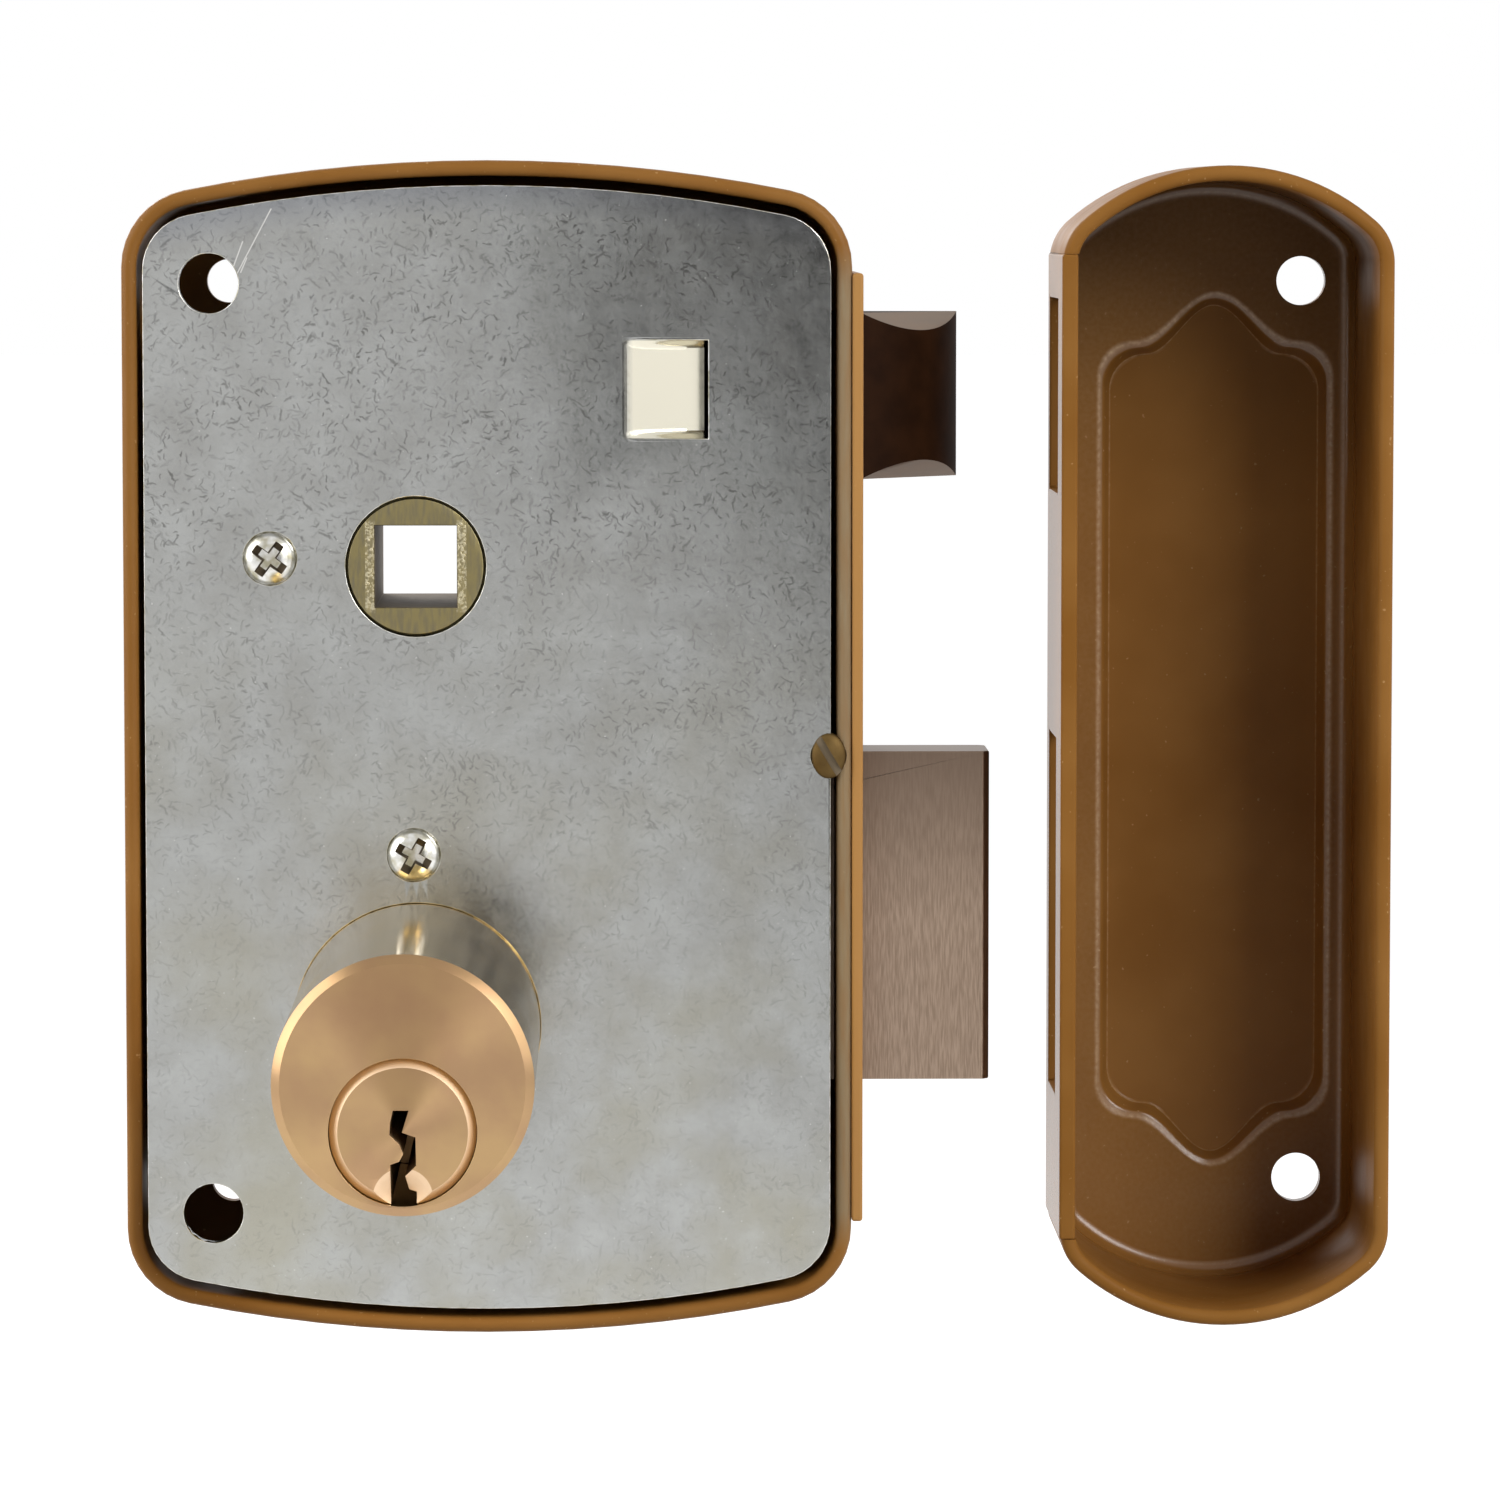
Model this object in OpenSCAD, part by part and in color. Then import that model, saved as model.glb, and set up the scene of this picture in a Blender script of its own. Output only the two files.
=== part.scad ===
// Rim box lock with its keeper, door side towards -Y, throw towards +X.
// The origin is the middle of the mounting plate's outer face.

/* [Case] */
// Outer width of the case cover
case_w = 72; // [66:0.5:90]
// Outer height of the case cover, at the crown of its arched ends
case_h = 116.4; // [108:0.2:140]
// Depth of the case from the door face to the room face
case_depth = 26; // [25:0.5:34]
// Sheet thickness of the case cover
case_sheet = 1.5; // [1:0.1:2]
// Radius of the arched top and bottom of the case
case_arch_r = 152; // [110:1:240]
// Radius of the four corners of the case
case_corner_r = 7.7; // [5.5:0.1:12]
// Radius of the fold from the walls to the room face
case_fold_r = 4; // [2.5:0.1:6]

/* [Forend plate] */
// Thickness of the forend plate
forend_t = 1.1; // [0.6:0.1:2]
// Height of the forend plate
forend_h = 94.2; // [92:0.2:98]
// Clearance round a bolt in its window
window_gap = 0.15; // [0.1:0.05:0.5]

/* [Mounting plate] */
// Thickness of the mounting plate
plate_t = 1.5; // [1:0.1:2.5]
// Gap between the plate and the side walls
plate_gap_side = 0.6; // [0.2:0.05:0.8]
// Gap between the plate and the arched walls
plate_gap_end = 0.95; // [0.3:0.05:1.2]
// Distance of the fixing holes from the middle, towards the hinge side
fixing_x = 27.4; // [25:0.1:29]
// Distance between the two fixing holes
fixing_spacing = 92.2; // [86:0.2:96]
// Diameter of the fixing holes in the plate
fixing_plate_d = 5.9; // [5:0.1:7]
// Diameter of the fixing holes in the case cover
fixing_cover_d = 4.4; // [4:0.1:5]
// How far the cover's fixing holes stand towards the bolts from those of the plate
fixing_cover_shift = 0.65; // [0:0.05:1]
// Width of the pressed ramp
ramp_w = 8.2; // [6:0.1:10]
// Height of the pressed ramp
ramp_h = 9.7; // [8:0.1:12]
// How far the ramp is pressed into the case
ramp_drop = 3; // [1.5:0.1:4]
// Thickness of the ramp's side walls
ramp_wall = 1; // [0.6:0.1:1.5]
// Cut left open at the ramp's free end
ramp_cut = 0.25; // [0.1:0.05:0.5]

/* [Plate screws] */
// Diameter of the screw heads
screw_head_d = 5.1; // [4.5:0.1:6]
// Height of the screw heads
screw_head_h = 1.7; // [1.2:0.1:2.5]
// Diameter of the screw shanks
screw_shank_d = 2.9; // [2.5:0.1:3.4]
// Diameter of the posts that take the screws
post_d = 6; // [5:0.1:6.5]
// Turn of the cross recess in the plate
screw_turn = 20; // [0:5:90]

/* [Seam screw] */
// Diameter of the seam screw's head
seam_head_d = 3.5; // [2.5:0.1:4]
// Height of the seam screw below the middle of the plate
seam_drop = 0.6; // [0:0.1:10]

/* [Spindle hub] */
// Height of the spindle above the middle of the plate
hub_z = 18.2; // [17:0.1:19]
// Distance of the spindle from the middle, towards the hinge side
hub_x = 7.1; // [5:0.1:9]
// Diameter of the hub's journals
hub_d = 13.8; // [12.5:0.1:15]
// Square hole for the spindle
spindle_square = 8.1; // [6:0.1:9]
// Running clearance of round bearings, on the radius
bearing_gap = 0.05; // [0.02:0.01:0.1]
// Width of the hub's lever
lever_w = 5; // [4:0.1:6]
// Thickness of the hub's lever
lever_t = 5; // [3:0.1:5.5]

/* [Latch] */
// Height of the latch's middle above the middle of the plate
latch_z = 34.8; // [34.5:0.1:36]
// Height of the latch
latch_h = 16.6; // [16:0.1:18]
// Thickness of the latch
latch_t = 11; // [9:0.1:12]
// How far the latch stands out of the forend plate
latch_out = 10; // [8:0.1:10]
// Bulge of the latch's curved striking face
latch_bulge = 1.8; // [1:0.1:2.5]
// Flat left at the latch's tip
latch_tip = 0.8; // [0.5:0.1:2]
// Height of the latch tail
latch_tail_h = 5.4; // [4:0.1:6]
// Thickness of the latch tail
latch_tail_t = 6; // [5.6:0.1:7]

/* [Deadbolt] */
// Depth of the deadbolt's middle below the middle of the plate
bolt_z = 17.4; // [17:0.1:18]
// Height of the deadbolt
bolt_h = 33.1; // [31:0.1:34]
// Thickness of the deadbolt
bolt_t = 8.5; // [7:0.1:9.5]
// How far the deadbolt stands out of the forend plate
bolt_out = 13; // [11:0.1:14]
// Thickness of the deadbolt's tail plate
bolt_tail_t = 4; // [3:0.1:5]
// Depth of both bolts' middle plane behind the door face
bolt_y = 13.4; // [13:0.1:14]

/* [Cylinder] */
// Distance of the cylinder from the middle, towards the hinge side
cylinder_x = 7.1; // [6:0.1:8]
// Depth of the cylinder's axis below the middle of the plate
cylinder_z = 27.4; // [27:0.1:28.5]
// Diameter of the cylinder
cylinder_d = 24.4; // [24:0.1:25]
// How far the cylinder stands out of the door face
cylinder_out = 48.5; // [40:0.5:60]
// Chamfer of the cylinder's front edge
cylinder_chamfer = 0.8; // [0.3:0.1:1.2]
// Diameter of the plug
plug_d = 13.7; // [13:0.1:14]
// How far the plug's axis lies below the cylinder's axis
plug_drop = 4.3; // [4:0.05:4.4]
// Diameter of the pins
pin_d = 2.8; // [2.4:0.1:3]
// Distance from pin to pin
pin_pitch = 4.6; // [4:0.1:5]
// Number of pins
pin_count = 5; // [4:1:6]
// Side of the square tail bar
tail_square = 4; // [3:0.1:4.4]

/* [Thumb turn] */
// Diameter of the thumb turn's collar
turn_collar_d = 19; // [16:0.5:24]
// Length of the thumb turn's wing
turn_wing = 25; // [20:0.5:32]
// How far the thumb turn stands out of the room face
turn_out = 14; // [10:0.5:20]

/* [Keeper] */
// Distance of the keeper from the forend plate, as laid out
keeper_gap = 19.6; // [18:0.2:40]
// Overall width of the keeper, with its strike plate
keeper_w = 32.9; // [30:0.1:40]
// Height of the keeper at the crown of its ends
keeper_h = 115.4; // [112:0.2:124]
// Depth of the keeper
keeper_depth = 26; // [25:0.5:32]
// Sheet thickness of the keeper
keeper_sheet = 1.5; // [1:0.1:1.6]
// Radius of the keeper's arched ends
keeper_arch_r = 22; // [18:0.1:24]
// Radius of the keeper's corners
keeper_corner_r = 5.5; // [3.5:0.1:6]
// Radius of the fold from the keeper's walls to its floor
keeper_fold_r = 3.2; // [2:0.1:3.4]
// Thickness of the strike plate
strike_t = 1.6; // [1:0.1:2]
// Height of the strike plate
strike_h = 98; // [92:0.2:98.4]
// Clearance round the bolts in the keeper's slots
slot_gap = 1.4; // [0.6:0.1:1.5]
// Diameter of the keeper's fixing holes
keeper_hole_d = 5; // [4:0.1:5.4]
// Distance between the keeper's fixing holes
keeper_hole_spacing = 92.2; // [90:0.2:94]
// Half width of the pressed panel
panel_half_w = 11.5; // [11:0.1:11.6]
// Distance of the pressed panel from the keeper's middle
panel_shift = 0.7; // [0:0.1:0.8]
// Half height of the pressed panel at its sides
panel_side = 35.7; // [30:0.1:37]
// Radius of the panel's shoulders
panel_shoulder = 3.7; // [2:0.1:5]
// Rise of the panel's peak above its shoulders
panel_peak = 5; // [3:0.1:6.2]
// How far the panel is pressed towards the room
panel_press = 2; // [0.6:0.1:2.2]

/* [Hidden] */
$fn = 96;

// Steps along one corner, one arch, one fold and the lip of a drawn box
corner_steps = 8;
arch_steps = 14;
fold_steps = 5;
lip_steps = 6;
// Length by which a cut runs past the face it opens
over = 1;
// Clearance between pieces that are pressed or screwed together
seat_gap = 0.03;

// Case levels along Y
floor_y = case_depth - case_sheet;
half_w = case_w / 2;
half_h = case_h / 2;
wall_x = half_w - case_sheet;
forend_x = half_w + forend_t;

// Mounting plate
plate_half_w = wall_x - plate_gap_side;
plate_half_h = half_h - case_sheet - plate_gap_end;
plate_arch_r = case_arch_r - case_sheet - plate_gap_end;
plate_corner_r = case_corner_r - case_sheet - plate_gap_side;
fixings = [for (side = [-1, 1]) [-fixing_x, side * fixing_spacing / 2]];
ramp_left = 13.6;
ramp_lift = 0.85;
ramp_mid_z = latch_z + ramp_lift;
ramp_bend = 0.4;
ramp_end = ramp_left + ramp_w - ramp_cut;
ramp_mid_x = ramp_left + ramp_w / 2;
ramp_low = ramp_mid_z - ramp_h / 2;
ramp_high = ramp_mid_z + ramp_h / 2;

// Screws and posts: one beside the hub, one between the hub and the cylinder
post_from_hub = [14.4, 0.8];
post_from_cylinder = [0.3, 4.8];
post_beside_hub = [-hub_x - post_from_hub.x, hub_z + post_from_hub.y];
post_over_cylinder = [-cylinder_x - post_from_cylinder.x, cylinder_d / 2 - cylinder_z + post_from_cylinder.y];
posts = [post_beside_hub, post_over_cylinder];
screw_len = 7;
screw_seat = 0.2;
screw_seat_gap = 0.1;
recess_w = 0.9;
recess_len = 3;
recess_deep = 0.9;
shank_gap = 0.1;
seam_inset = 0.2;
seam_at = [plate_half_w - seam_inset, -seam_drop];
seam_shank_d = 2;
seam_len = 8;
seam_dome = 0.7;
seam_slot_w = 0.6;
seam_slot_deep = 0.5;

// Latch: its tail runs over the lever's tip, and its lug hangs in the lever's way
latch_in = 17.1;
latch_rear = forend_x - latch_in;
latch_tip_x = forend_x + latch_out;
latch_front_y = bolt_y - latch_t / 2;
latch_back_y = bolt_y + latch_t / 2;
latch_tail_lift = 4.5;
latch_tail_z = latch_z + latch_tail_lift;
latch_tail_low = latch_tail_z - latch_tail_h / 2;
latch_tail_high = latch_tail_z + latch_tail_h / 2;
latch_socket = 8;
lever_top_gap = 0.9;
lever_r = latch_tail_low - lever_top_gap - lever_w / 2 - hub_z;
lever_ring_d = 20;
hub_shoulder = 1;
hub_rim_step = 0.2;
hub_rim_depth = 0.8;
hub_end_gap = 0.1;
hub_side_gap = 0.3;
hub_body_d = hub_d + 2 * hub_shoulder;
lug_gap = 0.6;
lug_w = 3.5;
lug_face = -hub_x - lever_w / 2 - lug_gap;
latch_tail_past = 2.3;
latch_tail_end = lug_face - lug_w - latch_tail_past;
latch_pin_d = 3;
spring_stop_gap = 2.6;
spring_stop_x = -wall_x + spring_stop_gap;
spring_stop_t = 1.6;
spring_stop_foot = 6;
spring_stop_rim = 0.6;
spring_wire = 0.7;
spring_d = 5;
spring_turns = 5;
spigot_d = 3;
spigot_len = 2.5;
guide_x = 4;
guide_w = 5;
guide_wall = 3;

// Deadbolt: a gate in its tail is driven by the cam, and a slot in it runs on the post
bolt_draw_in = 0.2;
bolt_travel = bolt_out + bolt_draw_in;
bolt_top = bolt_h / 2 - bolt_z;
bolt_bottom = -bolt_h / 2 - bolt_z;
bolt_in = 23.1;
bolt_head_len = bolt_out + bolt_in;
bolt_tip = forend_x + bolt_out;
bolt_rear = bolt_tip - bolt_head_len;
bolt_socket = 10;
bolt_chamfer = 0.6;
plug_x = -cylinder_x;
plug_z = -cylinder_z - plug_drop;
cam_half_turn = 60;
cam_r = bolt_travel / 2 / sin(cam_half_turn);
cam_tip_r = 2;
cam_arm_w = 3;
cam_hub_d = 8.4;
gate_gap = 0.75;
gate_half = cam_tip_r + gate_gap;
gate_x = plug_x + bolt_travel / 2;
cam_side_gap = 0.6;
gate_top_gap = 0.5;
gate_mouth = plug_z + cam_hub_d / 2 + cam_side_gap;
gate_top = plug_z + cam_r + cam_tip_r + gate_top_gap;
slot_half = post_d / 2 + bearing_gap;
slot_end_gap = 0.3;
slot_rim = 3.3;
slot_end_rim = 5;
bolt_tail_top = post_over_cylinder.y + slot_half + slot_rim;
bolt_tail_left = post_over_cylinder.x - slot_half - slot_end_gap - slot_end_rim;
bolt_tail_back = bolt_y + bolt_tail_t / 2;
rivet_d = 3;
rivet_inset = [4.5, 4];
rivet_levels = [bolt_tail_top - rivet_inset.x, gate_mouth + rivet_inset.y];
leaf_t = 0.5;
leaf_h = 6;
leaf_drop = 1.6;
leaf_z = post_over_cylinder.y - slot_half - leaf_h - leaf_drop;
leaf_inset = 4;
leaf_foot = 6;
leaf_reach = 8;
leaf_touch_gap = 0.1;
leaf_lip = 0.9;
leaf_toe = 2;
leaf_pad = 1.2;

// Cylinder, plug and what turns with it
cylinder_in = 7;
clip_t = 2;
clip_groove = 1;
clip_rim = 3.8;
clip_top_rim = 1.3;
clip_half_w = cylinder_d / 2 + clip_rim;
clip_top = cylinder_d / 2 + clip_top_rim;
plug_past = 1.6;
plug_out = cylinder_in + plug_past;
plug_end_gap = 0.1;
plug_groove_y = cylinder_in + plug_end_gap;
plug_groove_w = 0.8;
plug_groove = 0.8;
plug_clip_rim = 1.3;
plug_clip_d = plug_d + 2 * plug_clip_rim;
plug_clip_mouth = 3;
first_pin_in = 7;
first_pin_y = first_pin_in - cylinder_out;
pin_y = [for (i = [0:pin_count - 1]) first_pin_y + i * pin_pitch];
chamber_r = pin_d / 2 + bearing_gap;
chamber_roof = 1;
chamber_top = cylinder_d / 2 - chamber_roof - cylinder_z;
shear_gap = 0.02;
driver_low = plug_z + plug_d / 2 + shear_gap;
driver_len = 4;
pin_spring_gap = 0.15;
pin_spring_wire = 0.35;
key_pin_top = plug_z + sqrt(pow(plug_d / 2, 2) - pow(pin_d / 2, 2)) - shear_gap;
key_pin_len = [4.4, 5.6, 5, 6.1, 4.8, 5.4];
keyway_past = 4;
keyway_end = pin_y[pin_count - 1] + keyway_past;
// Keyway section about the plug's axis, open at the plug's lower edge
keyway = [[-0.9, 2.05], [0.56, 2.05], [-0.07, 0], [1.18, -0.45], [1.23, -3.1], [0.22, -4.1], [0.56, -5.4],
    [1.27, -5.6], [1.27, -plug_d / 2 - over], [-1.1, -plug_d / 2 - over], [-1.16, -3], [-0.33, -2.7],
    [0.05, -2], [-0.33, -1.1], [-1.23, -0.22], [-1.16, 0.9]];
countersink_r = 2.8;
countersink_depth = 1.5;
countersink_z = -6.1;
plug_chamfer = 0.8;
tail_start = 5;
neck_d = 12;
neck_flange_d = 14;
neck_flange_gap = 0.2;
collar_h = 2.8;
collar_gap = 0.3;
collar_bevel = 1;
wing_w = 6.5;
turn_cap = 6;
cam_from_plug = 0.6;
cam_back = 7.5;
flange_from_cam = 1;

// Keeper
strike_x = forend_x + keeper_gap;
keeper_half_w = (keeper_w - strike_t + keeper_sheet) / 2;
keeper_x = strike_x + keeper_w - keeper_half_w;
keeper_half_h = keeper_h / 2;
keeper_hole_side = 9.4;
keeper_hole_x = keeper_x + keeper_hole_side;
panel_rim = 0.8;
panel_steps = 8;

// Points along an arc in the plane
function arc(centre, radius, from, to, steps) = [for (i = [0:steps])
    let (a = from + (to - from) * i / steps) centre + radius * [cos(a), sin(a)]];

// Outline with straight sides, arched ends and rounded corners, counter-clockwise
function arched_outline(half_width, half_height, arch_r, corner_r) =
    let (
        corner_x = half_width - corner_r,
        arch_z = half_height - arch_r,
        corner_z = arch_z + sqrt(pow(arch_r - corner_r, 2) - corner_x * corner_x),
        turn = atan2(corner_z - arch_z, corner_x),
        right = arc([corner_x, corner_z], corner_r, 0, turn, corner_steps),
        crown = arc([0, arch_z], arch_r, turn, 180 - turn, arch_steps),
        left = arc([-corner_x, corner_z], corner_r, 180 - turn, 180, corner_steps),
        half = concat(right, [for (i = [1:arch_steps - 1]) crown[i]], left)
    )
    concat(half, [for (p = half) -p]);

// Outline of the pressed panel: straight sides, round shoulders and a peak at each end
function panel_outline(grow) =
    let (
        width = panel_half_w + grow,
        round_x = width - panel_shoulder,
        shoulder = arc([round_x, panel_side + grow], panel_shoulder, 0, 90, panel_steps),
        rise = [for (i = [1:panel_steps])
            let (t = i / panel_steps)
            [round_x * (1 - t), panel_side + grow + panel_shoulder + panel_peak * (1 - cos(180 * t)) / 2]],
        quarter = concat(shoulder, rise),
        last = len(quarter) - 1,
        half = concat(quarter, [for (i = [last - 1:-1:0]) [-quarter[i].x, quarter[i].y]])
    )
    concat(half, [for (p = half) -p]);

// Section of a drawn wall as [inset, depth], from the outer floor over the lip to the inner floor
function drawn_section(depth, sheet, fold_r) =
    let (inner_r = fold_r - sheet)
    concat(
        [for (p = arc([fold_r, depth - fold_r], fold_r, 90, 180, fold_steps)) p],
        [for (p = arc([sheet / 2, sheet / 2], sheet / 2, 180, 360, lip_steps)) p],
        [for (p = arc([fold_r, depth - sheet - inner_r], inner_r, 180, 90, fold_steps)) p]);

// Extrudes a flat shape given in X and Z from one depth to another
module along_y(from, to) {
    translate([0, to, 0]) rotate([90, 0, 0]) linear_extrude(to - from) children();
}

// Extrudes a flat shape given in X and Y from one level to another
module along_z(from, to) {
    translate([0, 0, from]) linear_extrude(to - from) children();
}

// Turns a profile given as [radius, y] about the Y axis
module turned(profile) {
    rotate([-90, 0, 0]) rotate_extrude() polygon(profile);
}

module rod_y(d, from, to) {
    translate([0, from, 0]) rotate([-90, 0, 0]) cylinder(d = d, h = to - from);
}

module at(p) {
    translate([p.x, 0, p.y]) children();
}

// A box from its low corner to its high corner
module block(low, high) {
    translate(low) cube(high - low);
}

// A drawn box, open towards -Y, as one skin of rings that follow the wall's section
module drawn_box(half_width, half_height, arch_r, corner_r, depth, sheet, fold_r) {
    section = drawn_section(depth, sheet, fold_r);
    rings = [for (s = section)
        [for (p = arched_outline(half_width - s.x, half_height - s.x, arch_r - s.x, corner_r - s.x))
            [p.x, s.y, p.y]]];
    count = len(rings[0]);
    last = len(rings) - 1;
    faces = concat(
        [[for (j = [0:count - 1]) j]],
        [for (i = [0:last - 1], j = [0:count - 1])
            let (k = (j + 1) % count)
            [(i + 1) * count + j, (i + 1) * count + k, i * count + k, i * count + j]],
        [[for (j = [count - 1:-1:0]) last * count + j]]);
    polyhedron([for (ring = rings) each ring], faces);
}

// A round wire wound about Z, standing on the origin
module coil(outer_d, wire, turns, length, steps, sides) {
    mid_r = (outer_d - wire) / 2;
    count = turns * steps;
    rise = (length - wire) / count;
    points = [for (i = [0:count], j = [0:sides - 1])
        let (a = 360 * i / steps, b = 360 * j / sides, r = mid_r + wire / 2 * cos(b))
        [r * cos(a), r * sin(a), wire / 2 + i * rise + wire / 2 * sin(b)]];
    faces = concat(
        [[for (j = [sides - 1:-1:0]) j]],
        [for (i = [0:count - 1], j = [0:sides - 1])
            let (k = (j + 1) % sides, a = i * sides, b = a + sides)
            each [[a + j, a + k, b + k], [a + j, b + k, b + j]]],
        [[for (j = [0:sides - 1]) count * sides + j]]);
    polyhedron(points, faces);
}

// Window for a bolt in a wall, over the wall's span in X
module bolt_window(from_x, to_x, thickness, low, high, gap) {
    block([from_x, bolt_y - thickness / 2 - gap, low - gap],
        [to_x, bolt_y + thickness / 2 + gap, high + gap]);
}

module both_windows(from_x, to_x, gap) {
    bolt_window(from_x, to_x, latch_t, latch_z - latch_h / 2, latch_z + latch_h / 2, gap);
    bolt_window(from_x, to_x, bolt_t, bolt_bottom, bolt_top, gap);
}

// Round seat of the seam screw, cut half into the plate and half into the wall
module seam_seat() {
    at(seam_at) rod_y(seam_head_d + 2 * seat_gap, -over, plate_t);
    at(seam_at) rod_y(seam_shank_d + 2 * seat_gap, -over, seam_len);
}

module case_cover() {
    color("peru") difference() {
        drawn_box(half_w, half_h, case_arch_r, case_corner_r, case_depth, case_sheet, case_fold_r);
        both_windows(wall_x - over, half_w + over, window_gap);
        for (p = fixings) at(p + [fixing_cover_shift, 0])
            rod_y(fixing_cover_d, floor_y - over, case_depth + over);
        at([-hub_x, hub_z]) rod_y(hub_d + 2 * bearing_gap, floor_y - over, case_depth + over);
        at([plug_x, plug_z]) rod_y(neck_d + 2 * bearing_gap, floor_y - over, case_depth + over);
        seam_seat();
    }
}

module forend_plate() {
    color("peru") difference() {
        block([half_w, 0, -forend_h / 2], [forend_x, case_depth - case_fold_r, forend_h / 2]);
        both_windows(half_w - over, forend_x + over, window_gap);
    }
}

module plate_blank() {
    along_y(0, plate_t) polygon(arched_outline(plate_half_w, plate_half_h, plate_arch_r, plate_corner_r));
}

// Section of the ramp's floor in X and Y: it leaves the plate level and ends inside the case
module ramp_section() {
    polygon([[ramp_left, 0], [ramp_mid_x, ramp_drop * ramp_bend], [ramp_end, ramp_drop],
        [ramp_end, ramp_drop + plate_t], [ramp_mid_x, ramp_drop * ramp_bend + plate_t], [ramp_left, plate_t]]);
}

// Section of the ramp's side walls, which join its floor to the plate
module ramp_side() {
    polygon([[ramp_left, plate_t / 2], [ramp_end, plate_t / 2], [ramp_end, ramp_drop + plate_t],
        [ramp_mid_x, ramp_drop * ramp_bend + plate_t], [ramp_left, plate_t]]);
}

module mounting_plate() {
    color("silver") {
        difference() {
            plate_blank();
            for (p = fixings) at(p) rod_y(fixing_plate_d, -over, plate_t + over);
            for (p = posts) at(p) {
                rod_y(screw_shank_d + 2 * shank_gap, -over, plate_t + over);
                rod_y(screw_head_d + 2 * screw_seat_gap, -over, screw_seat);
            }
            at([-hub_x, hub_z]) rod_y(hub_d + 2 * bearing_gap, -over, plate_t + over);
            at([-cylinder_x, -cylinder_z]) rod_y(cylinder_d + 2 * seat_gap, -over, plate_t + over);
            block([ramp_left, -over, ramp_low], [ramp_left + ramp_w, plate_t + over, ramp_high]);
            seam_seat();
        }
        along_z(ramp_low - ramp_wall / 2, ramp_high + ramp_wall / 2) ramp_section();
        for (z = [ramp_low - ramp_wall, ramp_high]) along_z(z, z + ramp_wall) ramp_side();
    }
}

// Pan head with a cross recess, head towards -Y
module plate_screw() {
    r = screw_head_d / 2;
    h = screw_head_h;
    difference() {
        turned([[0, -h], [0.45 * r, -0.95 * h], [0.8 * r, -0.76 * h], [r, -0.36 * h], [r, 0],
            [screw_shank_d / 2, 0], [screw_shank_d / 2, screw_len], [0, screw_len]]);
        for (turn = [0, 90]) rotate([0, turn + screw_turn, 0])
            translate([0, -h, 0]) cube([recess_len, 2 * recess_deep, recess_w], center = true);
    }
}

module plate_screws() {
    color("gainsboro") for (p = posts) at(p) translate([0, screw_seat, 0]) plate_screw();
}

module plate_posts() {
    color("gray") for (p = posts) at(p) difference() {
        rod_y(post_d, plate_t, floor_y);
        rod_y(screw_shank_d + 2 * seat_gap, plate_t - over, screw_len + over);
    }
}

module seam_screw() {
    r = seam_head_d / 2;
    h = seam_dome;
    color("darkgoldenrod") at(seam_at) difference() {
        turned([[0, -h], [0.5 * r, -0.86 * h], [0.85 * r, -0.43 * h], [r, 0], [r, plate_t - seat_gap],
            [seam_shank_d / 2, plate_t - seat_gap], [seam_shank_d / 2, seam_len - over],
            [0, seam_len - over]]);
        rotate([0, screw_turn, 0]) translate([0, -h, 0])
            cube([seam_head_d + over, 2 * seam_slot_deep, seam_slot_w], center = true);
    }
}

module spindle_hub() {
    r = hub_d / 2;
    low = plate_t + hub_side_gap;
    high = floor_y - hub_side_gap;
    color("darkkhaki") at([-hub_x, hub_z]) difference() {
        turned([[0, hub_end_gap], [r - hub_rim_step, hub_end_gap], [r - hub_rim_step, hub_rim_depth],
            [r, hub_rim_depth], [r, low], [hub_body_d / 2, low], [hub_body_d / 2, high], [r, high],
            [r, case_depth - hub_end_gap], [0, case_depth - hub_end_gap]]);
        block([-spindle_square / 2, -over, -spindle_square / 2],
            [spindle_square / 2, case_depth + over, spindle_square / 2]);
    }
}

module hub_lever() {
    color("slategray") at([-hub_x, hub_z]) along_y(bolt_y - lever_t / 2, bolt_y + lever_t / 2)
        difference() {
            union() {
                circle(d = lever_ring_d);
                translate([-lever_w / 2, 0]) square([lever_w, lever_r]);
                translate([0, lever_r]) circle(d = lever_w);
            }
            circle(d = hub_body_d + 2 * seat_gap);
        }
}

// Plan of the latch nose: a round striking face from the forend to the tip
module latch_plan() {
    root = [forend_x, latch_front_y];
    tip = [latch_tip_x, latch_back_y - latch_tip];
    chord = norm(tip - root);
    face_r = chord * chord / (8 * latch_bulge) + latch_bulge / 2;
    along = (tip - root) / chord;
    centre = (root + tip) / 2 + (face_r - latch_bulge) * [-along.y, along.x];
    block_2d = [latch_tip_x - latch_rear, latch_t];
    intersection() {
        translate([latch_rear, latch_front_y]) square(block_2d);
        union() {
            translate([latch_rear, latch_front_y]) square([latch_in, latch_t]);
            translate(centre) circle(r = face_r, $fn = 240);
        }
    }
}

// Wedge that bevels one end of the curved face, starting on the chord from root to tip
module latch_end_bevel() {
    root = [forend_x, latch_front_y];
    tip = [latch_tip_x, latch_back_y - latch_tip];
    chord = norm(tip - root);
    angle = atan2(tip.y - root.y, tip.x - root.x);
    translate([root.x, root.y, latch_h / 2]) rotate([0, 0, angle]) rotate([45, 0, 0])
        translate([0, -4 * latch_bulge, 0]) cube([chord, 8 * latch_bulge, 4 * latch_bulge]);
}

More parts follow.
